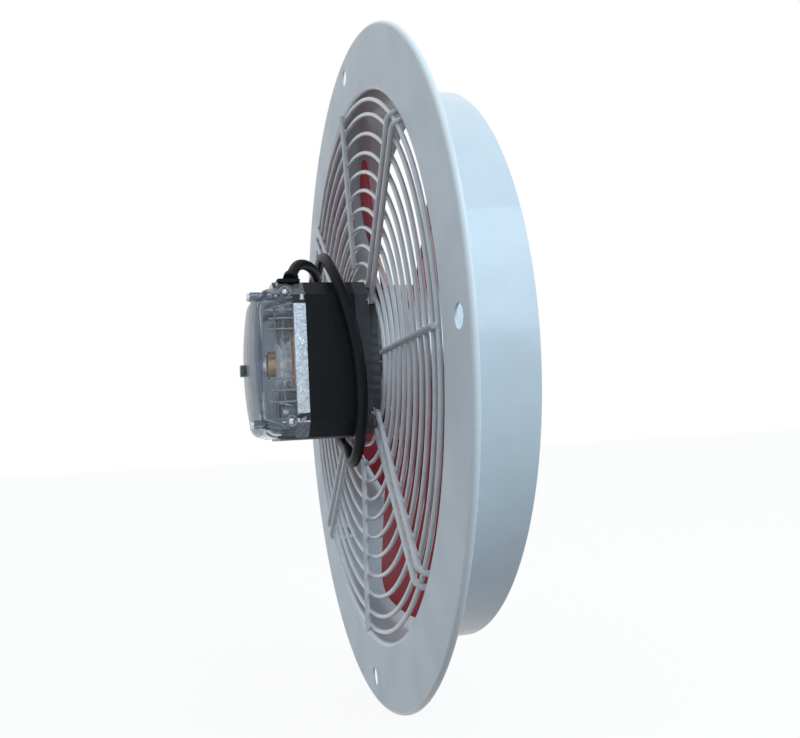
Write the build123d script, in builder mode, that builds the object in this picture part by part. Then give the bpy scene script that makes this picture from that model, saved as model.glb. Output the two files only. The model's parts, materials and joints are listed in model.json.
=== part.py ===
# Ring-mounted axial vent fan: a square shaded-pole motor hung in a welded wire guard,
# inside a flanged wall ring, with a five-bladed impeller on its shaft.
# Millimetres. The fan's axis is Y: the motor points to -Y, the air collar to +Y, and +Z is up.
# The origin is the centre of the flange's front face, the one on the motor's side.

import math
import os

from build123d import *

os.makedirs("parts", exist_ok=True)

# Wall ring, pressed from sheet
COLLAR_R = 156.0
COLLAR_DEPTH = 43.5
COLLAR_BEND_R = 8.0
FLANGE_WIDTH = 34.0
FLANGE_R = COLLAR_R + FLANGE_WIDTH
RING_SHEET = 1.2
THROAT_R = COLLAR_R - RING_SHEET
RIM_LIP = 3.0
RIM_BEND_R = 2.0
BOLT_EDGE = 12.5
BOLT_HOLE_R = 5.0
BOLT_HOLES = 4

# Wire guard
RING_WIRE_R = 1.25
ARM_WIRE_R = 1.5
RIM_RING_GAP = 3.8
LAST_RING_GAP = 11.5
FIRST_RING_INSET = 4.49
EVEN_RINGS = 10
GUARD_RIM_Y = -0.3
GUARD_CENTRE_Y = 2.65
WELD_SINK = 0.3
ARM_SPACING = 10.0
ARM_OVERLAP = 6.74
ARM_BEND_R = 4.9
ARM_HOOK_DEPTH = 14.0
WALL_WELD_SINK = 0.15
SPOKE_INNER_OVERHANG = 3.7
SPOKE_OVERHANG = 1.4
ARMS = 4

# Motor frame, a square with chamfered corners
MOTOR_HALF = 42.0
MOTOR_CORNER = 8.0
MOTOR_FLAT = MOTOR_HALF - MOTOR_CORNER
STACK_REAR_Y = -36.9
STACK_FRONT_Y = -9.9
STACK_YOKE = 7.0
WINDOW_HALF = MOTOR_HALF - STACK_YOKE
WINDOW_CORNER = 17.0
WINDOW_FLAT = WINDOW_HALF - WINDOW_CORNER
COIL_EDGE_GAP = 2.0
COIL_DEPTH = 4.2
COIL_OUTER_R = WINDOW_HALF - COIL_EDGE_GAP
COIL_INNER_R = COIL_OUTER_R - COIL_DEPTH
COIL_SHOE_GAP = 1.8
POLE_SHOE_R = COIL_INNER_R - COIL_SHOE_GAP
POLE_SHOE_DEPTH = 4.1
AIR_GAP = 0.5
BORE_R = POLE_SHOE_R - POLE_SHOE_DEPTH
ROTOR_R = BORE_R - AIR_GAP
POLE_SHOE_ANGLE = 66.0
POLE_NECK_W = 16.0
POLE_NECK_SINK = 2.0
POLES = 4
THROUGH_BOLT_R = 2.0
BOLT_INSET = 13.0
THROUGH_BOLT_XZ = MOTOR_HALF - BOLT_INSET
HOLE_CLEARANCE = 0.15
SEAT = 0.1
CUT_OVER = 1.0

# Windings
BOBBIN_WALL = 0.8
BOBBIN_FLANGE = 1.0
COIL_W = 6.4
COIL_CORNER = 3.0
SHADE_START_ANGLE = 12.5
SHADE_END_ANGLE = 40.0
SHADE_LEG_ANGLE = 5.0
SHADE_SLOT_MARGIN = 0.6
SHADE_INSET = 0.3
SHADE_THICK = 2.2
SHADE_R = (BORE_R + SHADE_INSET, BORE_R + SHADE_INSET + SHADE_THICK)
SHADE_PROUD = 2.0

# End shields and bearings
REAR_SHIELD_Y = -43.5
SKIRT_SPAN = 4.8
SHIELD_EDGE_FLAT = MOTOR_FLAT - SKIRT_SPAN
SHIELD_FRAME = 5.8
SHIELD_WINDOW_HALF = MOTOR_HALF - SHIELD_FRAME
SHIELD_WINDOW_CORNER = 17.7
SHIELD_WINDOW_FLAT = SHIELD_WINDOW_HALF - SHIELD_WINDOW_CORNER
REAR_ARM_Y = -47.0
ARM_WIDTH = 10.0
BOSS_R = 11.5
BEARING_R = 8.0
BEARING_LENGTH = 13.5
BEARING_INSET = 0.3
ROTOR_END_GAP = 1.0
REAR_BOSS_RISE = 1.0
FRONT_BOSS_RISE = 0.6
FELT_R = 12.5
FELT_THICK = 1.8
FRONT_SHIELD_Y = -5.5
FRONT_SHIELD_INSET = 1.8
FRONT_SHIELD_HALF = MOTOR_HALF - FRONT_SHIELD_INSET
FRONT_SHIELD_CORNER = 7.6
FRONT_SHIELD_FLAT = FRONT_SHIELD_HALF - FRONT_SHIELD_CORNER
FRONT_ARM_Y = -0.4
POST_R = 5.2
FRONT_POST_R = 3.3
PAD_TOP_Y = -1.5
PAD_REST = 16.4
PAD_KEY = 6.2
PAD_KEY_Y = 0.8
PAD_TIP_GAP = 0.4

# Shaft, rotor and their thrust parts
SHAFT_R = 4.0
SHAFT_REAR_Y = -60.5
SHAFT_FRONT_Y = 41.0
SHAFT_CHAMFER = 0.5
RUNNING_CLEARANCE = 0.05
END_RING_THICK = 3.6
END_RING_INNER_R = 13.0
END_RING_EDGE = 0.8
END_RING_OUTER_R = ROTOR_R - END_RING_EDGE
THRUST_WASHER_R = 6.5
THRUST_WASHER_THICK = 0.9
CIRCLIP_R = 5.6
CIRCLIP_THICK = 0.9
CIRCLIP_GROOVE = 0.35
CIRCLIP_GAP = 2.0

# Covers
COVER_WALL = 2.0
REAR_BAND_Y = -53.6
REAR_TOP_STEP = 2.8
REAR_BOTTOM_STEP = 0.4
REAR_SIDE_STEP = 2.0
REAR_BODY_TOP = MOTOR_HALF - REAR_TOP_STEP
REAR_BODY_BOTTOM = REAR_BOTTOM_STEP - MOTOR_HALF
REAR_BODY_HALF = MOTOR_HALF - REAR_SIDE_STEP
REAR_FACE_Y = -63.2
REAR_CROWN = 3.8
REAR_EDGE_R = 8.0
REAR_CORNER_R = 9.0
SKIRT_CLEARANCE = 0.2
LUG_HALF = 2.3
LUG_INSET = 8.0
LUG_XZ = MOTOR_HALF - LUG_INSET
LUG_FRONT_Y = -60.5
LUG_REAR_Y = -65.8
PLUG_HALF = 3.2
PLUG_RISE = 2.4
PLUG_DROP = 2.6
PLUG_STEM_R = 2.0
PLUG_CORNER_R = 0.6
FRONT_STEP_Y = -2.4
FRONT_WALL = 1.6
COLLAR_STEP = 6.0
COLLAR_HALF = MOTOR_HALF - COLLAR_STEP
COLLAR_CORNER = 6.5
COLLAR_FLAT = COLLAR_HALF - COLLAR_CORNER
COLLAR_WALL = 1.8
FRONT_COVER_Y = 3.7

# Fasteners and clamps
CLAMP_BOLT_EDGE = 6.0
CLAMP_WIRE_EDGE = 3.25
CLAMP_W = 11.0
CLAMP_THICK = 1.5
CLAMP_CORNER_R = 2.0
NUT_AF = 7.0
NUT_THICK = 3.2
BOLT_HEAD_R = 3.6
BOLT_HEAD_H = 3.0
BOLT_SOCKET_R = 2.0
BOLT_TAIL = 2.0
SCREW_POST_R = 2.6
COVER_SCREW_R = 1.3
COVER_SCREW_HEAD_R = 2.1
COVER_SCREW_HEAD_H = 1.6
COVER_SCREW_GRIP = 5.0
STRAP_WIDTH = 40.0
STRAP_THICK = 1.1
STRAP_REAR_Y = -50.6
STRAP_TAB = 1.7

# Impeller
BLADES = 5
BLADE_TIP_GAP = 5.8
BLADE_TIP_R = THROAT_R - BLADE_TIP_GAP
BLADE_SHEET = 1.3
BLADE_LEAD_Y = 19.0
BLADE_DEPTH = 31.0
BLADE_SPAN_ANGLE = 44.0
BLADE_LEAD_ANGLE = -112.0
BLADE_CAMBER = 0.055
BLADE_CORNER_R = 14.0
BLADE_TRIM_ANGLE = 0.1
BLADE_SECTION_PITCH = 29.25
BLADE_SECTIONS = 5
BLADE_SECTION_OVER = 8.0
HUB_R = 46.0
HUB_SHEET = 1.5
HUB_FACE_Y = 17.0
HUB_REAR_Y = 51.0
HUB_BEND_R = 4.0
BUSH_R = 10.0
BUSH_FLANGE_R = 19.0
BUSH_FLANGE = 3.0
BUSH_LENGTH = 26.0
BUSH_AHEAD = 5.0
RIVET_R = 2.0
RIVET_HEAD_R = 3.6
RIVET_HEAD = 1.6
RIVET_CIRCLE_R = 14.6
RIVETS = 4
GRUB_R = 2.5
GRUB_Y = 31.0
GRUB_SOCKET_R = 1.3
GRUB_SOCKET_DEPTH = 2.5

# Supply lead
LEAD_R = 3.0
CORE_R = 1.05
CORE_LENGTH = 20.0
CORE_SPREAD = 1.35
FERRULE_R = 0.9
FERRULE_LENGTH = 8.0
GLAND_PLATE_X = 28.0
GLAND_PLATE_Y = -44.3
GLAND_PLATE_SIZE = (13.0, 12.6, 2.1)
GLAND_STEM_R = 3.5
GLAND_STEM_Y = -47.9
GLAND_CORNER_R = 2.0
GLAND_COLLAR_R = 4.1

# The lead's route, from the gland over the motor, down its far side, under it, up its
# near side, back over the top and down the far side again
ROUTE = [
    (29.5, -42.2, 46.4),
    (23.3, -39.1, 53.2),
    (13.5, -33.4, 56.9),
    (0.0, -26.7, 58.2),
    (-15.0, -20.8, 57.0),
    (-29.5, -17.7, 52.8),
    (-42.0, -16.5, 43.5),
    (-49.5, -15.5, 29.0),
    (-51.0, -12.6, 6.0),
    (-50.4, -8.2, -19.0),
    (-47.6, -5.8, -35.0),
    (-38.5, -5.2, -45.6),
    (-24.0, -5.9, -49.0),
    (-7.0, -7.7, -50.3),
    (8.0, -9.8, -53.4),
    (21.3, -11.6, -57.5),
    (33.6, -11.9, -55.2),
    (43.6, -11.6, -47.3),
    (48.7, -10.7, -35.4),
    (48.5, -9.6, -14.5),
    (48.1, -11.2, 5.5),
    (47.8, -14.9, 24.0),
    (45.2, -19.3, 40.1),
    (35.6, -21.5, 50.6),
    (22.0, -21.5, 58.3),
    (4.0, -20.0, 62.6),
    (-16.0, -17.6, 63.6),
    (-34.0, -17.6, 59.2),
    (-47.5, -20.5, 47.5),
    (-53.5, -24.0, 31.0),
    (-52.7, -26.8, 7.0),
    (-49.8, -27.5, -18.0),
]
ARC_SHARE = 0.45

# Places worked out from the sizes above
STACK_LENGTH = STACK_FRONT_Y - STACK_REAR_Y
MOTOR_CORNER_R = (MOTOR_HALF + MOTOR_FLAT) / math.sqrt(2)
ARM_INNER_R = MOTOR_CORNER_R - ARM_OVERLAP
RING_OUTER_R = THROAT_R - RIM_RING_GAP
RING_INNER_R = MOTOR_CORNER_R - FIRST_RING_INSET
last_ring_r = THROAT_R - LAST_RING_GAP
ring_pitch = (last_ring_r - RING_INNER_R) / (EVEN_RINGS - 1)
ring_radii = [RING_OUTER_R]
for index in range(EVEN_RINGS):
    ring_radii.append(last_ring_r - index * ring_pitch)


def guard_plane_y(radius):
    """Height of the ring wires' centres: the guard dishes evenly from its rim to its centre."""
    share = (RING_OUTER_R - radius) / (RING_OUTER_R - RING_INNER_R)
    return GUARD_RIM_Y + share * (GUARD_CENTRE_Y - GUARD_RIM_Y)


def arm_y(radius):
    """Height of an arm wire's centre, pressed a little into the rings it is welded to."""
    return guard_plane_y(radius) - RING_WIRE_R - ARM_WIRE_R + WELD_SINK


def facing_rear(y):
    """Sketch plane across the axis at y, with X and Z as its axes; it extrudes towards -Y."""
    return Plane(origin=(0, y, 0), x_dir=(1, 0, 0), z_dir=(0, -1, 0))


def diagonal(angle, y=0.0):
    """Sketch plane across the axis, turned so that its first axis points along angle."""
    turn = math.radians(angle)
    return Plane(origin=(0, y, 0), x_dir=(math.cos(turn), 0, math.sin(turn)), z_dir=(0, -1, 0))


def chamfered_square(half, flat, mode=Mode.ADD):
    """A square of the given half width whose sides stay straight out to flat."""
    corners = [
        (half, -flat),
        (half, flat),
        (flat, half),
        (-flat, half),
        (-half, flat),
        (-half, -flat),
        (-flat, -half),
        (flat, -half),
    ]
    Polygon(*corners, align=None, mode=mode)


def round_corner(sketch, x, y, radius):
    """Rounds the sketch corner that lies nearest to (x, y)."""
    corner = sketch.vertices().sort_by_distance((x, y, 0))[0]
    fillet(corner, radius)


def turned_ring(inner, outer, low, high):
    """A plain ring about Y, from its two radii and its two heights."""
    with BuildPart() as ring:
        with BuildSketch(Plane.XY):
            with Locations(((inner + outer) / 2, (low + high) / 2)):
                Rectangle(outer - inner, high - low)
        revolve(axis=Axis.Y)
    return ring


def save(builder, name):
    """Labels a finished piece and writes it as one STEP file."""
    builder.part.label = name
    export_step(builder.part, f"parts/{name}.step")


# Wall ring: flange with a turned lip, a rounded edge and the air collar, all one sheet
with BuildPart() as wall_ring:
    with BuildSketch(Plane.XY) as ring_section:
        with BuildLine():
            Polyline(
                (THROAT_R, COLLAR_DEPTH),
                (THROAT_R, 0),
                (FLANGE_R, 0),
                (FLANGE_R, RIM_LIP),
                (FLANGE_R - RING_SHEET, RIM_LIP),
                (FLANGE_R - RING_SHEET, RING_SHEET),
                (COLLAR_R, RING_SHEET),
                (COLLAR_R, COLLAR_DEPTH),
                close=True,
            )
        make_face()
        round_corner(ring_section, THROAT_R, 0, COLLAR_BEND_R)
        round_corner(ring_section, COLLAR_R, RING_SHEET, COLLAR_BEND_R - RING_SHEET)
        round_corner(ring_section, FLANGE_R, 0, RIM_BEND_R)
        round_corner(ring_section, FLANGE_R - RING_SHEET, RING_SHEET, RIM_BEND_R - RING_SHEET)
    revolve(axis=Axis.Y)
    with BuildSketch(facing_rear(RING_SHEET)):
        with PolarLocations(FLANGE_R - BOLT_EDGE, BOLT_HOLES):
            Circle(BOLT_HOLE_R)
    extrude(amount=RING_SHEET, mode=Mode.SUBTRACT)
save(wall_ring, "wall_ring")

# Guard rings: concentric wires on a slight dish
with BuildPart() as guard_rings:
    with BuildSketch(Plane.XY):
        for radius in ring_radii:
            with Locations((radius, guard_plane_y(radius))):
                Circle(RING_WIRE_R)
    revolve(axis=Axis.Y)
save(guard_rings, "guard_rings")

# Guard arms: one wire each, bent like a hairpin, whose closed end hooks into the throat
hook_r = THROAT_R - ARM_WIRE_R + WALL_WELD_SINK
arm_angles = [45 + index * 360 / ARMS for index in range(ARMS)]
with BuildPart() as guard_arms:
    for angle in arm_angles:
        frame = diagonal(angle)
        side = ARM_SPACING / 2
        stations = [
            (ARM_INNER_R, side, -arm_y(ARM_INNER_R)),
            (hook_r, side, -arm_y(hook_r)),
            (hook_r, side, -ARM_HOOK_DEPTH),
            (hook_r, -side, -ARM_HOOK_DEPTH),
            (hook_r, -side, -arm_y(hook_r)),
            (ARM_INNER_R, -side, -arm_y(ARM_INNER_R)),
        ]
        points = [frame.from_local_coords(station) for station in stations]
        with BuildLine() as arm_path:
            FilletPolyline(*points, radius=ARM_BEND_R)
        with BuildSketch(Plane(origin=arm_path.line @ 0, z_dir=arm_path.line % 0)):
            Circle(ARM_WIRE_R)
        sweep(path=arm_path.line)
save(guard_arms, "guard_arms")

# Guard spokes: straight stiffening wires between the arms
spoke_inner_r = ring_radii[-2] - SPOKE_INNER_OVERHANG
spoke_outer_r = RING_OUTER_R + SPOKE_OVERHANG
with BuildPart() as guard_spokes:
    for index in range(ARMS):
        turn = math.radians(index * 360 / ARMS)
        start = Vector(spoke_inner_r * math.cos(turn), arm_y(spoke_inner_r), spoke_inner_r * math.sin(turn))
        end = Vector(spoke_outer_r * math.cos(turn), arm_y(spoke_outer_r), spoke_outer_r * math.sin(turn))
        with BuildSketch(Plane(origin=start, z_dir=end - start)):
            Circle(ARM_WIRE_R)
        extrude(amount=(end - start).length)
save(guard_spokes, "guard_spokes")

# Stator stack: laminations with four poles, their shoes and the coil windows
bolt_hole_r = THROUGH_BOLT_R + HOLE_CLEARANCE
pole_angles = [index * 360 / POLES for index in range(POLES)]
slot_start = math.radians(SHADE_START_ANGLE - SHADE_SLOT_MARGIN)
slot_end = math.radians(SHADE_START_ANGLE + SHADE_LEG_ANGLE + SHADE_SLOT_MARGIN)
slot_radii = (BORE_R - CUT_OVER, SHADE_R[1] + HOLE_CLEARANCE)
shade_slot = []
for radius, sides in zip(slot_radii, ((slot_start, slot_end), (slot_end, slot_start))):
    for side in sides:
        shade_slot.append((radius * math.cos(side), radius * math.sin(side)))
with BuildPart() as stator_stack:
    with BuildSketch(facing_rear(STACK_FRONT_Y)):
        chamfered_square(MOTOR_HALF, MOTOR_FLAT)
        chamfered_square(WINDOW_HALF, WINDOW_FLAT, mode=Mode.SUBTRACT)
        with PolarLocations(0, POLES):
            with Locations(((POLE_SHOE_R + WINDOW_HALF) / 2, 0)):
                Rectangle(WINDOW_HALF - POLE_SHOE_R + 2 * POLE_NECK_SINK, POLE_NECK_W)
            with BuildLine():
                half_shoe = math.radians(POLE_SHOE_ANGLE / 2)
                tip = (POLE_SHOE_R * math.cos(half_shoe), POLE_SHOE_R * math.sin(half_shoe))
                Line((0, 0), (tip[0], -tip[1]))
                ThreePointArc((tip[0], -tip[1]), (POLE_SHOE_R, 0), tip)
                Line(tip, (0, 0))
            make_face()
        Circle(BORE_R, mode=Mode.SUBTRACT)
        for angle in pole_angles:
            with Locations(Location((0, 0, 0), (0, 0, 1), angle)):
                Polygon(*shade_slot, align=None, mode=Mode.SUBTRACT)
        with GridLocations(2 * THROUGH_BOLT_XZ, 2 * THROUGH_BOLT_XZ, 2, 2):
            Circle(bolt_hole_r, mode=Mode.SUBTRACT)
    extrude(amount=STACK_LENGTH)
save(stator_stack, "stator_stack")

# Coil bobbins and coils: a frame round each pole's neck, and the winding on it
coil_mid_y = (STACK_FRONT_Y + STACK_REAR_Y) / 2
bobbin_w = POLE_NECK_W + 2 * HOLE_CLEARANCE
bobbin_h = STACK_LENGTH + 2 * HOLE_CLEARANCE


def pole_plane(angle, radius):
    """Plane across a pole at a radius: its first axis is along the fan's axis."""
    turn = math.radians(angle)
    outward = Vector(math.cos(turn), 0, math.sin(turn))
    return Plane(origin=outward * radius + Vector(0, coil_mid_y, 0), x_dir=(0, 1, 0), z_dir=outward)


with BuildPart() as coil_bobbins:
    for angle in pole_angles:
        with BuildSketch(pole_plane(angle, COIL_INNER_R - BOBBIN_WALL)):
            edge = 2 * BOBBIN_WALL + 2 * BOBBIN_FLANGE
            Rectangle(bobbin_h + edge, bobbin_w + edge)
        extrude(amount=BOBBIN_WALL)
        with BuildSketch(pole_plane(angle, COIL_INNER_R)):
            Rectangle(bobbin_h + 2 * BOBBIN_WALL, bobbin_w + 2 * BOBBIN_WALL)
        extrude(amount=COIL_OUTER_R - COIL_INNER_R)
    for angle in pole_angles:
        with BuildSketch(pole_plane(angle, COIL_INNER_R - 2 * BOBBIN_WALL)):
            Rectangle(bobbin_h, bobbin_w)
        extrude(amount=COIL_OUTER_R - COIL_INNER_R + 3 * BOBBIN_WALL, mode=Mode.SUBTRACT)
save(coil_bobbins, "coil_bobbins")

coil_inner_h = bobbin_h + 2 * BOBBIN_WALL
coil_inner_w = bobbin_w + 2 * BOBBIN_WALL
with BuildPart() as field_coils:
    for angle in pole_angles:
        with BuildSketch(pole_plane(angle, COIL_INNER_R)):
            RectangleRounded(coil_inner_h + 2 * COIL_W, coil_inner_w + 2 * COIL_W, COIL_CORNER)
            Rectangle(coil_inner_h, coil_inner_w, mode=Mode.SUBTRACT)
        extrude(amount=COIL_OUTER_R - COIL_INNER_R)
save(field_coils, "field_coils")

# Rear end shield: an edge frame whose corners leave room for the cover's skirts, four
# posts for the through bolts, and diagonal arms to the bearing boss
rear_boss_y = REAR_ARM_Y - REAR_BOSS_RISE
rear_arm_front = STACK_REAR_Y - END_RING_THICK - ROTOR_END_GAP
with BuildPart() as rear_end_shield:
    with BuildSketch(facing_rear(STACK_REAR_Y)):
        chamfered_square(MOTOR_HALF, SHIELD_EDGE_FLAT)
        chamfered_square(SHIELD_WINDOW_HALF, SHIELD_WINDOW_FLAT, mode=Mode.SUBTRACT)
    extrude(amount=STACK_REAR_Y - REAR_SHIELD_Y)
    with BuildSketch(facing_rear(STACK_REAR_Y)):
        with GridLocations(2 * THROUGH_BOLT_XZ, 2 * THROUGH_BOLT_XZ, 2, 2):
            Circle(POST_R)
    extrude(amount=STACK_REAR_Y - REAR_ARM_Y)
    for angle in arm_angles[:2]:
        with BuildSketch(diagonal(angle, rear_arm_front)):
            Rectangle(2 * THROUGH_BOLT_XZ * math.sqrt(2), ARM_WIDTH)
        extrude(amount=rear_arm_front - REAR_ARM_Y)
    with BuildSketch(facing_rear(rear_arm_front)):
        Circle(BOSS_R)
    extrude(amount=rear_arm_front - rear_boss_y)
    with BuildSketch(facing_rear(0)):
        Circle(BEARING_R)
        with GridLocations(2 * THROUGH_BOLT_XZ, 2 * THROUGH_BOLT_XZ, 2, 2):
            Circle(bolt_hole_r)
        with GridLocations(2 * LUG_XZ, 2 * LUG_XZ, 2, 2):
            Circle(COVER_SCREW_R + SEAT)
    extrude(amount=-SHAFT_REAR_Y, mode=Mode.SUBTRACT)
save(rear_end_shield, "rear_end_shield")

# Front end shield: the same inside the front cover, with a pad under each guard arm
front_arm_rear = STACK_FRONT_Y + END_RING_THICK + ROTOR_END_GAP
front_boss_y = FRONT_ARM_Y + FRONT_BOSS_RISE
pad_inner_u = ARM_INNER_R + PAD_TIP_GAP
pad_outer_u = MOTOR_CORNER_R - COVER_WALL
with BuildPart() as front_end_shield:
    with BuildSketch(facing_rear(FRONT_SHIELD_Y)):
        chamfered_square(FRONT_SHIELD_HALF, FRONT_SHIELD_FLAT)
        chamfered_square(SHIELD_WINDOW_HALF, SHIELD_WINDOW_FLAT, mode=Mode.SUBTRACT)
    extrude(amount=FRONT_SHIELD_Y - STACK_FRONT_Y)
    with BuildSketch(facing_rear(FRONT_COVER_Y - COVER_WALL)):
        with GridLocations(2 * THROUGH_BOLT_XZ, 2 * THROUGH_BOLT_XZ, 2, 2):
            Circle(FRONT_POST_R)
    extrude(amount=FRONT_COVER_Y - COVER_WALL - STACK_FRONT_Y)
    for angle in arm_angles[:2]:
        with BuildSketch(diagonal(angle, FRONT_ARM_Y)):
            Rectangle(2 * THROUGH_BOLT_XZ * math.sqrt(2), ARM_WIDTH)
        extrude(amount=FRONT_ARM_Y - front_arm_rear)
    for angle in arm_angles:
        for top, width in ((PAD_TOP_Y, PAD_REST), (PAD_KEY_Y, PAD_KEY)):
            with BuildSketch(diagonal(angle, top)):
                with Locations(((pad_inner_u + pad_outer_u) / 2, 0)):
                    Rectangle(pad_outer_u - pad_inner_u, width)
            extrude(amount=top - STACK_FRONT_Y)
    with BuildSketch(facing_rear(FRONT_COVER_Y)):
        chamfered_square(FRONT_SHIELD_HALF, FRONT_SHIELD_FLAT)
    extrude(amount=FRONT_COVER_Y - STACK_FRONT_Y, mode=Mode.INTERSECT)
    with BuildSketch(facing_rear(front_boss_y)):
        Circle(BOSS_R)
    extrude(amount=front_boss_y - front_arm_rear)
    with BuildSketch(facing_rear(FRONT_COVER_Y)):
        Circle(BEARING_R)
        with GridLocations(2 * THROUGH_BOLT_XZ, 2 * THROUGH_BOLT_XZ, 2, 2):
            Circle(bolt_hole_r)
    extrude(amount=FRONT_COVER_Y - STACK_FRONT_Y, mode=Mode.SUBTRACT)
save(front_end_shield, "front_end_shield")

# Bearings: sintered bronze bushes pressed into the bosses, with a running fit on the shaft
rear_bearing_front = rear_arm_front - BEARING_INSET
front_bearing_rear = front_arm_rear + BEARING_INSET
bearing_hole = SHAFT_R + RUNNING_CLEARANCE
rear_bearing = turned_ring(bearing_hole, BEARING_R, rear_bearing_front - BEARING_LENGTH, rear_bearing_front)
save(rear_bearing, "rear_bearing")
front_bearing = turned_ring(bearing_hole, BEARING_R, front_bearing_rear, front_bearing_rear + BEARING_LENGTH)
save(front_bearing, "front_bearing")

# Oil felts: white felt rings round each bush, on the bosses' outer ends
rear_oil_felt = turned_ring(BEARING_R, FELT_R, rear_boss_y - FELT_THICK, rear_boss_y)
save(rear_oil_felt, "rear_oil_felt")
front_oil_felt = turned_ring(BEARING_R, FELT_R, front_boss_y, FRONT_COVER_Y - COVER_WALL)
save(front_oil_felt, "front_oil_felt")

cover_front = REAR_SHIELD_Y - SEAT
flat_share = math.tan(math.pi / 8)


def rear_cover_body(inset):
    """The rear cover's moulded form, drawn in from its outside by inset on every side."""
    top = REAR_BODY_TOP - inset
    bottom = REAR_BODY_BOTTOM + inset
    half = REAR_BODY_HALF - inset
    face = REAR_FACE_Y + inset
    reach = 2 * MOTOR_HALF
    dome_r = (half**2 + REAR_CROWN**2) / (2 * REAR_CROWN)
    dome_edge = face - REAR_CROWN + dome_r - math.sqrt(dome_r**2 - reach**2)
    dome_side = face - REAR_CROWN + dome_r - math.sqrt(dome_r**2 - (reach / 2) ** 2)
    with BuildPart() as body:
        with BuildSketch(facing_rear(cover_front)):
            with Locations((0, (top + bottom) / 2)):
                RectangleRounded(2 * half, top - bottom, REAR_CORNER_R - inset)
        extrude(amount=cover_front - face + REAR_CROWN)
        with BuildSketch(Plane.XY):
            with BuildLine():
                Line((0, 0), (0, face - REAR_CROWN))
                ThreePointArc((0, face - REAR_CROWN), (reach / 2, dome_side), (reach, dome_edge))
                Line((reach, dome_edge), (reach, 0))
                Line((reach, 0), (0, 0))
            make_face()
        revolve(axis=Axis.Y, mode=Mode.INTERSECT)
        rear_edges = [edge for edge in body.edges() if edge.bounding_box().max.Y < REAR_BAND_Y]
        fillet(rear_edges, REAR_EDGE_R - inset)
    return body.part


# Rear cover: a clear moulded cap with a deeper band at the motor, corner skirts that come
# over the end shield, a screw post in each corner and a square lug on the two at +X
near_corners = [(LUG_XZ, LUG_XZ), (LUG_XZ, -LUG_XZ)]
far_corners = [(-LUG_XZ, LUG_XZ), (-LUG_XZ, -LUG_XZ)]
cover_outside = rear_cover_body(0)
cover_inside = rear_cover_body(COVER_WALL)
with BuildPart() as rear_cover:
    add(cover_outside)
    with BuildSketch(facing_rear(STACK_REAR_Y - SEAT)):
        chamfered_square(MOTOR_HALF, MOTOR_FLAT)
    extrude(amount=STACK_REAR_Y - SEAT - REAR_BAND_Y)
    with BuildSketch(facing_rear(STACK_REAR_Y)):
        skirt_flat = SHIELD_EDGE_FLAT + SKIRT_CLEARANCE * math.sqrt(2)
        chamfered_square(MOTOR_HALF + CUT_OVER, skirt_flat - CUT_OVER)
    extrude(amount=STACK_REAR_Y - cover_front, mode=Mode.SUBTRACT)
    with BuildSketch(facing_rear(cover_front)):
        chamfered_square(MOTOR_HALF - COVER_WALL, MOTOR_FLAT - COVER_WALL * flat_share)
    extrude(amount=cover_front - REAR_BAND_Y - COVER_WALL, mode=Mode.SUBTRACT)
    add(cover_inside, mode=Mode.SUBTRACT)
    with BuildSketch(facing_rear(REAR_ARM_Y - SEAT)):
        with GridLocations(2 * LUG_XZ, 2 * LUG_XZ, 2, 2):
            Circle(SCREW_POST_R)
    extrude(amount=REAR_ARM_Y - SEAT - LUG_FRONT_Y)
    with BuildSketch(facing_rear(LUG_FRONT_Y)):
        with Locations(*near_corners):
            Rectangle(2 * LUG_HALF, 2 * LUG_HALF)
    extrude(amount=LUG_FRONT_Y - LUG_REAR_Y)
    with BuildSketch(facing_rear(LUG_FRONT_Y)):
        with Locations(*far_corners):
            Circle(COVER_SCREW_HEAD_R + SEAT)
    extrude(amount=LUG_FRONT_Y - LUG_REAR_Y, mode=Mode.SUBTRACT)
    with BuildSketch(facing_rear(cover_front)):
        with GridLocations(2 * LUG_XZ, 2 * LUG_XZ, 2, 2):
            Circle(COVER_SCREW_R + HOLE_CLEARANCE)
    extrude(amount=cover_front - LUG_REAR_Y, mode=Mode.SUBTRACT)
    with BuildSketch(facing_rear(cover_front)):
        with Locations((0, -PLUG_DROP)):
            Circle(PLUG_STEM_R + SEAT)
    extrude(amount=cover_front - REAR_FACE_Y + REAR_CROWN, mode=Mode.SUBTRACT)
    with BuildSketch(Plane.XY.offset(MOTOR_HALF)):
        with Locations((GLAND_PLATE_X, GLAND_STEM_Y)):
            Circle(GLAND_STEM_R + SEAT)
    extrude(amount=-COVER_WALL, mode=Mode.SUBTRACT)
    with BuildSketch(Plane.XY.offset(-MOTOR_HALF)):
        with Locations((0, STRAP_REAR_Y + STRAP_THICK / 2)):
            Rectangle(STRAP_WIDTH + 2 * SEAT, STRAP_THICK + 2 * SEAT)
    extrude(amount=COVER_WALL, mode=Mode.SUBTRACT)
save(rear_cover, "rear_cover")

# Cover plug: a small square rubber plug in the middle of the rear cover
plug_face_y = REAR_FACE_Y - REAR_CROWN
with BuildPart() as cover_plug:
    with BuildSketch(facing_rear(plug_face_y - SEAT)):
        with Locations((0, -PLUG_DROP)):
            RectangleRounded(2 * PLUG_HALF, 2 * PLUG_HALF, PLUG_CORNER_R)
    extrude(amount=PLUG_RISE)
    with BuildSketch(facing_rear(plug_face_y + COVER_WALL + CUT_OVER)):
        with Locations((0, -PLUG_DROP)):
            Circle(PLUG_STEM_R)
    extrude(amount=COVER_WALL + CUT_OVER + SEAT)
save(cover_plug, "cover_plug")

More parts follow.
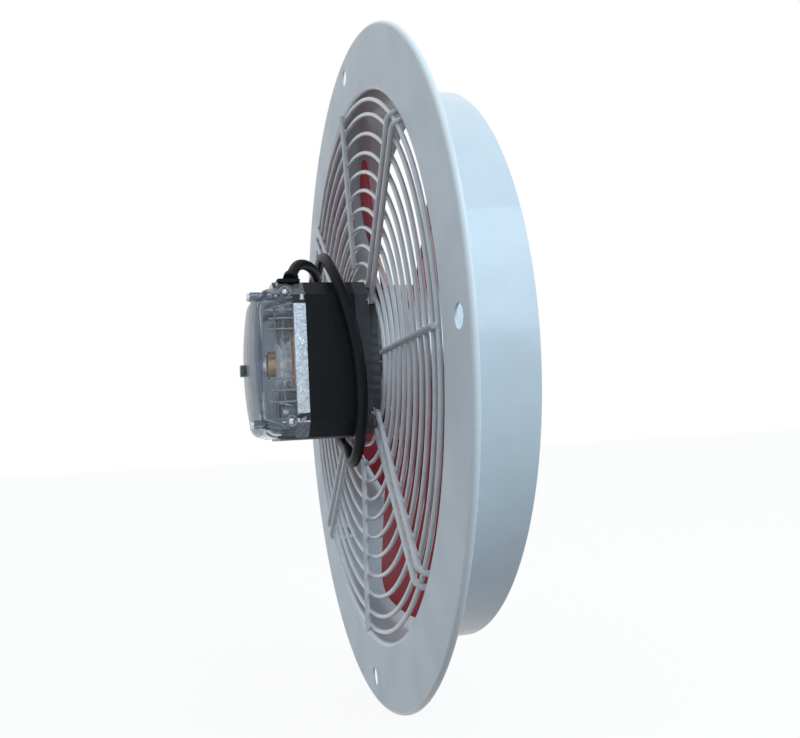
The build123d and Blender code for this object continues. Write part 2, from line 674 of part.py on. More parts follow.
# Front cover: a dark moulded skirt and a stepped-in collar that reaches through the guard
front_cover_rear = STACK_FRONT_Y + SEAT
with BuildPart() as front_cover:
    with BuildSketch(facing_rear(FRONT_STEP_Y)):
        chamfered_square(MOTOR_HALF, MOTOR_FLAT)
    extrude(amount=FRONT_STEP_Y - front_cover_rear)
    with BuildSketch(facing_rear(FRONT_COVER_Y)):
        chamfered_square(COLLAR_HALF, COLLAR_FLAT)
    extrude(amount=FRONT_COVER_Y - FRONT_STEP_Y)
    with BuildSketch(facing_rear(FRONT_STEP_Y - FRONT_WALL)):
        chamfered_square(MOTOR_HALF - FRONT_WALL, MOTOR_FLAT - FRONT_WALL * flat_share)
    extrude(amount=FRONT_STEP_Y - FRONT_WALL - front_cover_rear, mode=Mode.SUBTRACT)
    with BuildSketch(facing_rear(FRONT_COVER_Y - COVER_WALL)):
        chamfered_square(COLLAR_HALF - COLLAR_WALL, COLLAR_FLAT - COLLAR_WALL * flat_share)
    extrude(amount=FRONT_COVER_Y - COVER_WALL - front_cover_rear, mode=Mode.SUBTRACT)
    with BuildSketch(facing_rear(FRONT_COVER_Y)):
        Circle(BEARING_R + 2 * HOLE_CLEARANCE)
        with GridLocations(2 * THROUGH_BOLT_XZ, 2 * THROUGH_BOLT_XZ, 2, 2):
            Circle(bolt_hole_r)
    extrude(amount=COVER_WALL, mode=Mode.SUBTRACT)
    for angle in arm_angles:
        with BuildSketch(diagonal(angle, FRONT_STEP_Y)):
            with Locations(((pad_inner_u + pad_outer_u) / 2, 0)):
                Rectangle(pad_outer_u - pad_inner_u + 2 * SEAT, PAD_REST + 2 * SEAT)
        extrude(amount=FRONT_WALL, mode=Mode.SUBTRACT)
save(front_cover, "front_cover")

# Clamp plates and nuts: each plate bridges from the front cover to the innermost ring wire
# and holds the guard down on its pads; the through bolts carry them
clamp_y = GUARD_CENTRE_Y + RING_WIRE_R + SEAT
clamp_front_y = clamp_y + CLAMP_THICK
bolt_u = THROUGH_BOLT_XZ * math.sqrt(2)
clamp_inner_u = bolt_u - CLAMP_BOLT_EDGE
clamp_outer_u = RING_INNER_R + CLAMP_WIRE_EDGE
with BuildPart() as clamp_plates:
    for angle in arm_angles:
        with BuildSketch(diagonal(angle, clamp_front_y)):
            with Locations(((clamp_inner_u + clamp_outer_u) / 2, 0)):
                RectangleRounded(clamp_outer_u - clamp_inner_u, CLAMP_W, CLAMP_CORNER_R)
            with Locations((bolt_u, 0)):
                Circle(bolt_hole_r, mode=Mode.SUBTRACT)
        extrude(amount=CLAMP_THICK)
save(clamp_plates, "clamp_plates")

nut_front_y = clamp_front_y + NUT_THICK
with BuildPart() as clamp_nuts:
    for angle in arm_angles:
        with BuildSketch(diagonal(angle, nut_front_y)):
            with Locations((bolt_u, 0)):
                RegularPolygon(NUT_AF / 2, 6, major_radius=False)
                Circle(THROUGH_BOLT_R, mode=Mode.SUBTRACT)
        extrude(amount=NUT_THICK)
save(clamp_nuts, "clamp_nuts")

# Through bolts: from their heads on the rear shield's posts to the clamp nuts
bolt_end_y = nut_front_y + BOLT_TAIL
with BuildPart() as through_bolts:
    with BuildSketch(facing_rear(bolt_end_y)):
        with GridLocations(2 * THROUGH_BOLT_XZ, 2 * THROUGH_BOLT_XZ, 2, 2):
            Circle(THROUGH_BOLT_R)
    extrude(amount=bolt_end_y - REAR_ARM_Y)
    with BuildSketch(facing_rear(REAR_ARM_Y)):
        with GridLocations(2 * THROUGH_BOLT_XZ, 2 * THROUGH_BOLT_XZ, 2, 2):
            Circle(BOLT_HEAD_R)
            RegularPolygon(BOLT_SOCKET_R, 6, mode=Mode.SUBTRACT)
    extrude(amount=BOLT_HEAD_H)
save(through_bolts, "through_bolts")

# Cover screws: long thin screws through the cover's posts into the end shield
screw_tip_y = cover_front + COVER_SCREW_GRIP
with BuildPart() as cover_screws:
    with BuildSketch(facing_rear(screw_tip_y)):
        with GridLocations(2 * LUG_XZ, 2 * LUG_XZ, 2, 2):
            Circle(COVER_SCREW_R)
    extrude(amount=screw_tip_y - LUG_FRONT_Y)
    for seat_y, corners in ((LUG_REAR_Y, near_corners), (LUG_FRONT_Y, far_corners)):
        with BuildSketch(facing_rear(LUG_FRONT_Y)):
            with Locations(*corners):
                Circle(COVER_SCREW_R)
        extrude(amount=LUG_FRONT_Y - seat_y + COVER_SCREW_HEAD_H)
        with BuildSketch(facing_rear(seat_y)):
            with Locations(*corners):
                Circle(COVER_SCREW_HEAD_R)
        extrude(amount=COVER_SCREW_HEAD_H)
save(cover_screws, "cover_screws")

# Cover strap: a sheet-steel clip under the motor that ties the two covers together
strap_top = -MOTOR_HALF - SEAT
strap_front_y = FRONT_STEP_Y + SEAT + STRAP_THICK
with BuildPart() as cover_strap:
    with BuildSketch(Plane.YZ):
        with BuildLine():
            Polyline(
                (STRAP_REAR_Y, strap_top - STRAP_THICK),
                (strap_front_y, strap_top - STRAP_THICK),
                (strap_front_y, strap_top + 2 * STRAP_TAB),
                (strap_front_y - STRAP_THICK, strap_top + 2 * STRAP_TAB),
                (strap_front_y - STRAP_THICK, strap_top),
                (STRAP_REAR_Y + STRAP_THICK, strap_top),
                (STRAP_REAR_Y + STRAP_THICK, strap_top + STRAP_TAB),
                (STRAP_REAR_Y, strap_top + STRAP_TAB),
                close=True,
            )
        make_face()
    extrude(amount=STRAP_WIDTH / 2, both=True)
save(cover_strap, "cover_strap")

# Shading rings: a closed copper loop round one side of each pole's shoe
shade_axis = Axis((0, 0, 0), (0, -1, 0))


def radial_plane(angle):
    """Plane through the fan's axis: radius is its first axis and Y its second."""
    turn = math.radians(angle)
    return Plane(origin=(0, 0, 0), x_dir=(math.cos(turn), 0, math.sin(turn)),
                 z_dir=(-math.sin(turn), 0, math.cos(turn)))


shade_low = STACK_REAR_Y - SHADE_PROUD
shade_high = STACK_FRONT_Y + SHADE_PROUD
shade_mid_r = sum(SHADE_R) / 2
shade_width = SHADE_R[1] - SHADE_R[0]
shade_arc = SHADE_END_ANGLE - SHADE_START_ANGLE
with BuildPart() as shading_rings:
    for angle in pole_angles:
        with BuildSketch(radial_plane(angle + SHADE_START_ANGLE)):
            with Locations((shade_mid_r, coil_mid_y)):
                Rectangle(shade_width, shade_high - shade_low)
        revolve(axis=shade_axis, revolution_arc=shade_arc)
    for angle in pole_angles:
        with BuildSketch(radial_plane(angle + SHADE_START_ANGLE + SHADE_LEG_ANGLE)):
            with Locations((shade_mid_r, coil_mid_y)):
                Rectangle(shade_width + CUT_OVER, STACK_LENGTH + 2 * SEAT)
        revolve(axis=shade_axis, revolution_arc=shade_arc - 2 * SHADE_LEG_ANGLE, mode=Mode.SUBTRACT)
save(shading_rings, "shading_rings")

# Rotor: laminated core, cast end rings and the spacers that hold it between the bearings
with BuildPart() as rotor_core:
    with BuildSketch(facing_rear(STACK_FRONT_Y)):
        Circle(ROTOR_R)
        Circle(SHAFT_R, mode=Mode.SUBTRACT)
    extrude(amount=STACK_LENGTH)
save(rotor_core, "rotor_core")

with BuildPart() as rotor_end_rings:
    for front in (STACK_FRONT_Y + END_RING_THICK, STACK_REAR_Y):
        with BuildSketch(facing_rear(front)):
            Circle(END_RING_OUTER_R)
            Circle(END_RING_INNER_R, mode=Mode.SUBTRACT)
        extrude(amount=END_RING_THICK)
save(rotor_end_rings, "rotor_end_rings")

front_spacer = (front_bearing_rear - SEAT, STACK_FRONT_Y)
rear_spacer = (STACK_REAR_Y, rear_bearing_front + SEAT)
with BuildPart() as rotor_spacers:
    for front, rear in (front_spacer, rear_spacer):
        with BuildSketch(facing_rear(front)):
            Circle(THRUST_WASHER_R)
            Circle(SHAFT_R, mode=Mode.SUBTRACT)
        extrude(amount=front - rear)
save(rotor_spacers, "rotor_spacers")

# Shaft, with a groove behind each bearing for its retaining ring
front_washer_y = front_bearing_rear + BEARING_LENGTH + SEAT
rear_washer_y = rear_bearing_front - BEARING_LENGTH - SEAT
front_clip_y = front_washer_y + THRUST_WASHER_THICK
rear_clip_y = rear_washer_y - THRUST_WASHER_THICK
with BuildPart() as shaft:
    with BuildSketch(facing_rear(SHAFT_FRONT_Y)):
        Circle(SHAFT_R)
    extrude(amount=SHAFT_FRONT_Y - SHAFT_REAR_Y)
    chamfer(shaft.edges().filter_by(GeomType.CIRCLE), SHAFT_CHAMFER)
    for front in (front_clip_y + CIRCLIP_THICK, rear_clip_y):
        with BuildSketch(facing_rear(front)):
            Circle(SHAFT_R + CUT_OVER)
            Circle(SHAFT_R - CIRCLIP_GROOVE, mode=Mode.SUBTRACT)
        extrude(amount=CIRCLIP_THICK, mode=Mode.SUBTRACT)
save(shaft, "shaft")

with BuildPart() as thrust_washers:
    for front in (front_clip_y, rear_washer_y):
        with BuildSketch(facing_rear(front)):
            Circle(THRUST_WASHER_R)
            Circle(SHAFT_R, mode=Mode.SUBTRACT)
        extrude(amount=THRUST_WASHER_THICK)
save(thrust_washers, "thrust_washers")

with BuildPart() as retaining_rings:
    for front in (front_clip_y + CIRCLIP_THICK, rear_clip_y):
        with BuildSketch(facing_rear(front)):
            Circle(CIRCLIP_R)
            Circle(SHAFT_R - CIRCLIP_GROOVE, mode=Mode.SUBTRACT)
            with Locations((0, CIRCLIP_R)):
                Rectangle(CIRCLIP_GAP, CIRCLIP_R, mode=Mode.SUBTRACT)
        extrude(amount=CIRCLIP_THICK)
save(retaining_rings, "retaining_rings")

# Impeller hub: a pressed cup with its closed face towards the motor
with BuildPart() as impeller_hub:
    with BuildSketch(Plane.XY) as hub_section:
        with BuildLine():
            Polyline(
                (BUSH_R, HUB_FACE_Y),
                (HUB_R, HUB_FACE_Y),
                (HUB_R, HUB_REAR_Y),
                (HUB_R - HUB_SHEET, HUB_REAR_Y),
                (HUB_R - HUB_SHEET, HUB_FACE_Y + HUB_SHEET),
                (BUSH_R, HUB_FACE_Y + HUB_SHEET),
                close=True,
            )
        make_face()
        round_corner(hub_section, HUB_R, HUB_FACE_Y, HUB_BEND_R)
        round_corner(hub_section, HUB_R - HUB_SHEET, HUB_FACE_Y + HUB_SHEET, HUB_BEND_R - HUB_SHEET)
    revolve(axis=Axis.Y)
    with BuildSketch(facing_rear(HUB_REAR_Y)):
        with PolarLocations(RIVET_CIRCLE_R, RIVETS):
            Circle(RIVET_R)
    extrude(amount=HUB_REAR_Y - HUB_FACE_Y, mode=Mode.SUBTRACT)
save(impeller_hub, "impeller_hub")

# Hub bush: turned, riveted inside the cup and held on the shaft by its grub screw
bush_face_y = HUB_FACE_Y + HUB_SHEET
bush_end_y = HUB_FACE_Y - BUSH_AHEAD + BUSH_LENGTH
with BuildPart() as hub_bush:
    with BuildSketch(facing_rear(bush_end_y)):
        Circle(BUSH_R)
    extrude(amount=BUSH_LENGTH)
    with BuildSketch(facing_rear(bush_face_y + BUSH_FLANGE)):
        Circle(BUSH_FLANGE_R)
    extrude(amount=BUSH_FLANGE)
    with BuildSketch(facing_rear(bush_end_y)):
        Circle(SHAFT_R)
    extrude(amount=BUSH_LENGTH, mode=Mode.SUBTRACT)
    with BuildSketch(facing_rear(bush_face_y + BUSH_FLANGE)):
        with PolarLocations(RIVET_CIRCLE_R, RIVETS):
            Circle(RIVET_R)
    extrude(amount=BUSH_FLANGE, mode=Mode.SUBTRACT)
    with BuildSketch(Plane.XY.offset(SHAFT_R)):
        with Locations((0, GRUB_Y)):
            Circle(GRUB_R)
    extrude(amount=BUSH_R - SHAFT_R + CUT_OVER, mode=Mode.SUBTRACT)
save(hub_bush, "hub_bush")

with BuildPart() as grub_screw:
    with BuildSketch(Plane.XY.offset(SHAFT_R + SEAT)):
        with Locations((0, GRUB_Y)):
            Circle(GRUB_R)
    extrude(amount=BUSH_R - SHAFT_R - SEAT)
    with BuildSketch(Plane.XY.offset(BUSH_R)):
        with Locations((0, GRUB_Y)):
            RegularPolygon(GRUB_SOCKET_R, 6)
    extrude(amount=-GRUB_SOCKET_DEPTH, mode=Mode.SUBTRACT)
save(grub_screw, "grub_screw")

rivet_top_y = bush_face_y + BUSH_FLANGE
with BuildPart() as hub_rivets:
    with BuildSketch(facing_rear(rivet_top_y + RIVET_HEAD)):
        with PolarLocations(RIVET_CIRCLE_R, RIVETS):
            Circle(RIVET_HEAD_R)
    extrude(amount=RIVET_HEAD)
    with BuildSketch(facing_rear(rivet_top_y)):
        with PolarLocations(RIVET_CIRCLE_R, RIVETS):
            Circle(RIVET_R)
    extrude(amount=rivet_top_y - HUB_FACE_Y)
    with BuildSketch(facing_rear(HUB_FACE_Y)):
        with PolarLocations(RIVET_CIRCLE_R, RIVETS):
            Circle(RIVET_HEAD_R)
    extrude(amount=RIVET_HEAD)
save(hub_rivets, "hub_rivets")


def blade_plane(angle, radius):
    """Plane across a blade at a radius: along the turn, then along the fan's axis."""
    turn = math.radians(angle)
    return Plane(origin=(radius * math.cos(turn), 0, radius * math.sin(turn)),
                 x_dir=(-math.sin(turn), 0, math.cos(turn)), z_dir=(math.cos(turn), 0, math.sin(turn)))


# Blades: pressed sheets, twisted so that each climbs the same height over its angle.
# On this plane the second axis points to -Y, so heights are written with their sign turned.
half_span = math.radians(BLADE_SPAN_ANGLE / 2)
section_end = BLADE_TIP_R + BLADE_SECTION_OVER
section_radii = [section_end - index * BLADE_SECTION_PITCH for index in range(BLADE_SECTIONS)]
blade_centres = [BLADE_LEAD_ANGLE + BLADE_SPAN_ANGLE / 2 + index * 360 / BLADES for index in range(BLADES)]
with BuildPart() as impeller_blades:
    for angle in blade_centres:
        for radius in reversed(section_radii):
            reach = radius * math.tan(half_span)
            chord = math.hypot(2 * reach, BLADE_DEPTH)
            across = Vector(BLADE_DEPTH / chord, 2 * reach / chord)
            lead = Vector(-reach, -BLADE_LEAD_Y)
            trail = Vector(reach, -BLADE_LEAD_Y - BLADE_DEPTH)
            belly = (lead + trail) * 0.5 + across * (BLADE_CAMBER * chord)
            sheet = across * BLADE_SHEET
            with BuildSketch(blade_plane(angle, radius)):
                with BuildLine():
                    ThreePointArc(lead, belly, trail)
                    Line(trail, trail - sheet)
                    ThreePointArc(trail - sheet, belly - sheet, lead - sheet)
                    Line(lead - sheet, lead)
                make_face()
        loft()
    with BuildSketch(facing_rear(BLADE_LEAD_Y + 2 * BLADE_DEPTH)) as blade_outline:
        for angle in blade_centres:
            wedge = [(0, 0)]
            for side in (-1, 1):
                edge = math.radians(angle + side * (BLADE_SPAN_ANGLE / 2 - BLADE_TRIM_ANGLE))
                wedge.append((2 * BLADE_TIP_R * math.cos(edge), 2 * BLADE_TIP_R * math.sin(edge)))
            Polygon(*wedge, align=None)
        Circle(BLADE_TIP_R, mode=Mode.INTERSECT)
        Circle(HUB_R, mode=Mode.SUBTRACT)
        tips = [
            corner
            for corner in blade_outline.vertices()
            if math.hypot(corner.X, corner.Y) > (HUB_R + BLADE_TIP_R) / 2
        ]
        fillet(tips, BLADE_CORNER_R)
    extrude(amount=3 * BLADE_DEPTH, mode=Mode.INTERSECT)
save(impeller_blades, "impeller_blades")

# Cable gland: a flat rubber plate with a stem through the rear cover's top and a short
# collar, which points the way that the lead leaves
gland_base = MOTOR_HALF + SEAT
lead_start = Vector(*ROUTE[0])
exit_way = (Vector(*ROUTE[1]) - lead_start).normalized()
collar_length = (lead_start.Z - gland_base - GLAND_PLATE_SIZE[2]) / exit_way.Z
with BuildPart() as cable_gland:
    with BuildSketch(Plane(origin=lead_start, z_dir=exit_way)):
        Circle(GLAND_COLLAR_R)
    extrude(amount=-collar_length)
    with BuildSketch(Plane.XY.offset(gland_base)):
        with Locations((GLAND_PLATE_X, GLAND_PLATE_Y)):
            RectangleRounded(GLAND_PLATE_SIZE[0], GLAND_PLATE_SIZE[1], GLAND_CORNER_R)
    extrude(amount=GLAND_PLATE_SIZE[2])
    split(bisect_by=Plane.XY.offset(gland_base), keep=Keep.TOP)
    with BuildSketch(Plane.XY.offset(gland_base)):
        with Locations((GLAND_PLATE_X, GLAND_STEM_Y)):
            Circle(GLAND_STEM_R)
    extrude(amount=-COVER_WALL - CUT_OVER)
save(cable_gland, "cable_gland")

# Supply lead: straight runs joined by arcs as large as the runs allow
route = [Vector(*point) for point in ROUTE]
bend_radii = []
for before, corner, after in zip(route, route[1:], route[2:]):
    run_in = corner - before
    run_out = after - corner
    turn = math.radians(run_in.get_angle(run_out))
    shorter = min(run_in.length, run_out.length)
    bend_radii.append(ARC_SHARE * shorter / math.tan(turn / 2))
with BuildPart() as supply_lead:
    with BuildLine() as lead_path:
        FilletPolyline(*route, radius=bend_radii)
    with BuildSketch(Plane(origin=lead_path.line @ 0, z_dir=lead_path.line % 0)):
        Circle(LEAD_R)
    sweep(path=lead_path.line)
save(supply_lead, "supply_lead")
lead_length = lead_path.wires()[0].length
print("lead length", round(lead_length, 1))
print("lead least bend radius", round(min(bend_radii), 1))
print("lead volume over section times length", supply_lead.part.volume / (math.pi * LEAD_R**2 * lead_length))

# Lead end: three insulated cores out of the sheath, each crimped into a ferrule
sheath_end = route[-1]
end_way = (route[-1] - route[-2]).normalized()
with BuildPart() as lead_cores:
    with BuildSketch(Plane(origin=sheath_end, z_dir=end_way)):
        with PolarLocations(CORE_SPREAD, 3):
            Circle(CORE_R)
    extrude(amount=CORE_LENGTH)
save(lead_cores, "lead_cores")
with BuildPart() as core_ferrules:
    with BuildSketch(Plane(origin=sheath_end + end_way * CORE_LENGTH, z_dir=end_way)):
        with PolarLocations(CORE_SPREAD, 3):
            Circle(FERRULE_R)
    extrude(amount=FERRULE_LENGTH)
save(core_ferrules, "core_ferrules")
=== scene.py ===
# %% [markdown]
# # An axial vent fan, dressed for its portrait
# The solids of the fan come in as a fixed frame. Each cell below makes one visible piece of the
# real fan, or the finish of one, and says what it is, how it could be made and why it is made so.
# Lengths are written in millimetres and multiplied by MM, because Blender works in metres. The
# few values that are in metres say so.

# %% Tools and the frame
import json
import math

import bmesh
import bpy
import numpy as np
from mathutils import Matrix, Vector
from mathutils.bvhtree import BVHTree


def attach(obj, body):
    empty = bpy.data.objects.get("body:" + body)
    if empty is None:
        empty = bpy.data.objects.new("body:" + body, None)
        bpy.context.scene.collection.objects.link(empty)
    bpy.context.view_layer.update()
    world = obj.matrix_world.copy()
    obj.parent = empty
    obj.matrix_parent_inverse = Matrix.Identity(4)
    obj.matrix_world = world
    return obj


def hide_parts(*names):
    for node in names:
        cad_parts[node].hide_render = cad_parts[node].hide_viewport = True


MM = 0.001
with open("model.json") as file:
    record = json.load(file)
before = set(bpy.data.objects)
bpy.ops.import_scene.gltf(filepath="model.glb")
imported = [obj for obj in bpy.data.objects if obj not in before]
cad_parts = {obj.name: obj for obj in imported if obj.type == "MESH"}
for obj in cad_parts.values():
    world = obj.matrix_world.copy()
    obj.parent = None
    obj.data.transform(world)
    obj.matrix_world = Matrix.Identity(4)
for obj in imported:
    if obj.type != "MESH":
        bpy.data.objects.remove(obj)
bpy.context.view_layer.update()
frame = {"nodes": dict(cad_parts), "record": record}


# %% [markdown]
# The picture was taken from beside the motor, a little below the fan's axis, with a short lens.
# The camera's place was solved from the flange, the collar and the square motor, which all have
# known sizes. Its right and up directions are given and the third is square to both, so no angle
# has to be guessed.

# %% Camera
def new_object(name, data):
    """Makes an object from its data and puts it into the scene."""
    made = bpy.data.objects.new(name, data)
    bpy.context.scene.collection.objects.link(made)
    return made


camera_data = bpy.data.cameras.new("camera")
camera_data.sensor_width = 36.0
camera_data.lens = 36.445
camera_data.shift_x = 0.0264
camera_data.shift_y = -0.0492
camera_data.clip_start = 0.01
camera = new_object("camera", camera_data)
camera_place = Vector((465.98, -104.45, -43.97)) * MM
right = Vector((0.23756, 0.96980, -0.05524))
up = Vector((0.14062, 0.02193, 0.98982))
back = right.cross(up)
facing = Matrix((right, up, back)).transposed().to_4x4()
camera.matrix_world = Matrix.Translation(camera_place) @ facing
bpy.context.scene.camera = camera
print("camera at", tuple(round(value, 3) for value in camera.location))


# %% [markdown]
# Meshes here are made from grids of points. A grid has rows and columns, and may close on itself
# either way, like the skin of a tube. Working on whole grids keeps each shape a formula and
# makes it quick to build, and several grids can share one piece.

# %% Grids to meshes
merge_within = 0.002 * MM
sharp_over = math.radians(35.0)
round_over = math.radians(40.0)


def grid_faces(rows, columns, close_rows, close_columns):
    """Quads of a grid: point i, j joins i+1 and j+1, wrapping round where it is closed."""
    i = np.arange(rows if close_rows else rows - 1)
    j = np.arange(columns if close_columns else columns - 1)
    i, j = np.meshgrid(i, j, indexing="ij")
    here, below = i * columns, (i + 1) % rows * columns
    after = (j + 1) % columns
    return np.stack([here + j, here + after, below + after, below + j], axis=-1).reshape(-1, 4)


def finish_mesh(name, mesh):
    """Merges touching points, turns faces outwards, shades smooth and keeps the steep edges sharp."""
    work = bmesh.new()
    work.from_mesh(mesh)
    bmesh.ops.remove_doubles(work, verts=work.verts, dist=merge_within)
    bmesh.ops.recalc_face_normals(work, faces=work.faces)
    work.to_mesh(mesh)
    work.free()
    mesh.shade_smooth()
    mesh.set_sharp_from_angle(angle=sharp_over)
    return new_object(name, mesh)


def piece_from_grids(name, grids):
    """One object from several grids, each given as (points, close rows, close columns)."""
    points, faces, start = [], [], 0
    for grid, close_rows, close_columns in grids:
        rows, columns = grid.shape[:2]
        points.append(grid.reshape(-1, 3))
        faces.append(grid_faces(rows, columns, close_rows, close_columns) + start)
        start += rows * columns
    mesh = bpy.data.meshes.new(name)
    mesh.from_pydata(np.concatenate(points) * MM, [], np.concatenate(faces))
    return finish_mesh(name, mesh)


def round_edges(piece, width, segments=2):
    """Rounds every edge that turns enough, as a mould, a press or a coat of paint leaves it."""
    rounding = piece.modifiers.new("rounding", "BEVEL")
    rounding.width = width * MM
    rounding.segments = segments
    rounding.limit_method = "ANGLE"
    rounding.angle_limit = round_over
    rounding.harden_normals = True
    return piece


def report(piece):
    """Prints a piece's name and how many faces it has."""
    print(piece.name, len(piece.data.polygons), "faces")


# %% [markdown]
# Most of what is made anew here is bent wire or turned sheet, so three makers cover it: a path
# whose corners are rounded by arcs, a tube along such a path, and a section turned about the axis.
# A fourth closes the ends of a plain tube, because a mesh that is left open has no inside.

# %% Paths, tubes and turned sections
def rounded_path(corners, radii, steps, closed=False):
    """Replaces each corner by an arc: radius r, starting r * tan(turn / 2) before the corner."""
    corners = np.asarray(corners, float)
    count = len(corners)
    line = []
    for k in range(count):
        if radii[k] <= 0 or (not closed and k in (0, count - 1)):
            line.append(corners[k][None])
            continue
        here, before, after = corners[k], corners[k - 1], corners[(k + 1) % count]
        back_way = (before - here) / np.linalg.norm(before - here)
        on_way = (after - here) / np.linalg.norm(after - here)
        half = math.acos(np.clip(back_way @ on_way, -1, 1)) / 2
        middle = (back_way + on_way) / np.linalg.norm(back_way + on_way)
        centre = here + middle * radii[k] / math.sin(half)
        sweep = math.pi / 2 - half
        angle = np.linspace(-sweep, sweep, steps)[:, None]
        across = (on_way - back_way) / np.linalg.norm(on_way - back_way)
        line.append(centre - middle * radii[k] * np.cos(angle) + across * radii[k] * np.sin(angle))
    return np.concatenate(line)


def tube_grid(path, radius, sides, reference=(0.41, 0.52, 0.75), closed=False):
    """Circles round each point of a path: point + r (n cos a + b sin a), n and b square to it."""
    path = np.asarray(path, float)
    if closed:
        ahead = np.roll(path, -1, axis=0) - np.roll(path, 1, axis=0)
    else:
        ahead = np.gradient(path, axis=0)
    ahead /= np.linalg.norm(ahead, axis=1, keepdims=True)
    n = np.cross(ahead, reference)
    n /= np.linalg.norm(n, axis=1, keepdims=True)
    b = np.cross(ahead, n)
    angle = np.linspace(0, 2 * np.pi, sides, endpoint=False)
    ring = n[:, None] * np.cos(angle)[None, :, None] + b[:, None] * np.sin(angle)[None, :, None]
    return path[:, None] + radius * ring


def closed_tube(line, radius):
    """A tube along a line with both ends drawn to a point in the middle of its cut face."""
    tube = tube_grid(line, radius, 14)
    return np.concatenate([0 * tube[:1] + line[0], tube, 0 * tube[:1] + line[-1]])


def turned_grid(section, segments):
    """A closed section of (radius, y) points turned about the Y axis: (r cos a, y, r sin a)."""
    section = np.asarray(section, float)
    angle = np.linspace(0, 2 * np.pi, segments, endpoint=False)[:, None]
    r, y = section[None, :, 0], section[None, :, 1]
    return np.stack([r * np.cos(angle), y + 0 * angle, r * np.sin(angle)], axis=-1)


# %% [markdown]
# The motor's supply lead is a round three-core cable in a satin black sheath. It leaves the gland,
# arches over the motor, hangs in a loop below it, comes up its near side and goes back over the
# top. A smooth spline through loose points hangs as such a stiff little cable does, where a
# tube of straight runs would look like bent wire. The sheath's radius is given at each point,
# against a bevel depth of one, because the box round a curve is measured with its points' radii.

# %% Supply lead
ROUTE = [
    (29.5, -42.2, 46.4),
    (23.3, -39.1, 53.2),
    (13.5, -33.4, 56.9),
    (0.0, -26.7, 58.2),
    (-15.0, -20.8, 57.0),
    (-29.5, -17.7, 52.8),
    (-42.0, -16.5, 43.5),
    (-49.5, -15.5, 29.0),
    (-51.0, -12.6, 6.0),
    (-50.4, -8.2, -19.0),
    (-47.6, -5.8, -35.0),
    (-38.5, -5.2, -45.6),
    (-24.0, -5.9, -49.0),
    (-7.0, -7.7, -50.3),
    (8.0, -9.8, -53.4),
    (21.3, -11.6, -57.5),
    (33.6, -11.9, -55.2),
    (43.6, -11.6, -47.3),
    (48.7, -10.7, -35.4),
    (48.5, -9.6, -14.5),
    (48.1, -11.2, 5.5),
    (47.8, -14.9, 24.0),
    (45.2, -19.3, 40.1),
    (35.6, -21.5, 50.6),
    (22.0, -21.5, 58.3),
    (4.0, -20.0, 62.6),
    (-16.0, -17.6, 63.6),
    (-34.0, -17.6, 59.2),
    (-47.5, -20.5, 47.5),
    (-53.5, -24.0, 31.0),
    (-52.7, -26.8, 7.0),
    (-50.9, -27.2, -8.5),
]
sheath_r = 3.0
lead_curve = bpy.data.curves.new("lead", "CURVE")
lead_curve.dimensions = "3D"
lead_curve.bevel_depth = 1.0
lead_curve.bevel_resolution = 8
lead_curve.resolution_u = 14
lead_curve.use_fill_caps = True
lead_line = lead_curve.splines.new("NURBS")
lead_line.points.add(len(ROUTE) - 1)
weighted = np.ones((len(ROUTE), 4))
weighted[:, :3] = np.array(ROUTE) * MM
lead_line.points.foreach_set("co", weighted.ravel())
lead_line.points.foreach_set("radius", [sheath_r * MM] * len(ROUTE))
lead_line.order_u = 3
lead_line.use_endpoint_u = True
lead = new_object("lead", lead_curve)
print("lead with", len(ROUTE), "points")


# %% [markdown]
# The sheath ends behind the motor. Its three cores come out of it, spread a little on their own
# and end in crimped ferrules. Each is a tube along a line that leaves the sheath straight and
# then fans out with the square of the distance, as stripped cores do. A core starts a little
# inside the sheath, and a ferrule starts a little before its core's end.

# %% Cores and ferrules
core_r = 1.05
core_start = -1.0
core_length = 20.0
core_spread = 1.35
fan = 0.0035
ferrule_r = 0.9
ferrule_length = 8.0
crimp = 0.3
sheath_end = np.array(ROUTE[-1])
end_way = sheath_end - np.array(ROUTE[-2])
end_way /= np.linalg.norm(end_way)
across_one = np.cross(end_way, (0, 1, 0))
across_one /= np.linalg.norm(across_one)
across_two = np.cross(end_way, across_one)


def core_tubes(name, start, stop, radius):
    """Three tubes along end + way * t + outwards * (spread + fan * t * t), a third of a turn apart."""
    t = np.linspace(start, stop, 12)[:, None]
    grids = []
    for k in range(3):
        turn = k * 2 * math.pi / 3
        outwards = math.cos(turn) * across_one + math.sin(turn) * across_two
        line = sheath_end + end_way * t + outwards * (core_spread + fan * t * t)
        grids.append((closed_tube(line, radius), False, True))
    return piece_from_grids(name, grids)


core_wires = core_tubes("core_wires", core_start, core_length, core_r)
ferrules = core_tubes("ferrules", core_length - crimp, core_length + ferrule_length, ferrule_r)
for piece, node, slot in (
    (core_wires, "lead_cores", "core_insulation"),
    (ferrules, "core_ferrules", "ferrule_metal"),
):
    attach(piece, "root")
    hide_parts(node)
    report(piece)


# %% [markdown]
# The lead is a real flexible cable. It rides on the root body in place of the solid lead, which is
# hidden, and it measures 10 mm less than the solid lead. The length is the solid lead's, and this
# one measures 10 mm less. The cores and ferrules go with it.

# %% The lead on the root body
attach(lead, "root")
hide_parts("supply_lead")
print("cord leaves at", ROUTE[0])


# %% [markdown]
# The wall ring is one pressing of steel sheet: a flat flange, a rim turned back by 3 mm, and the
# air collar drawn out of the middle. A closed section of the sheet turned about the axis gives
# all of it at once, with the true radius in each bend. The cut edges are nearly round, because
# the sheet is thin and the paint lies thick on them.

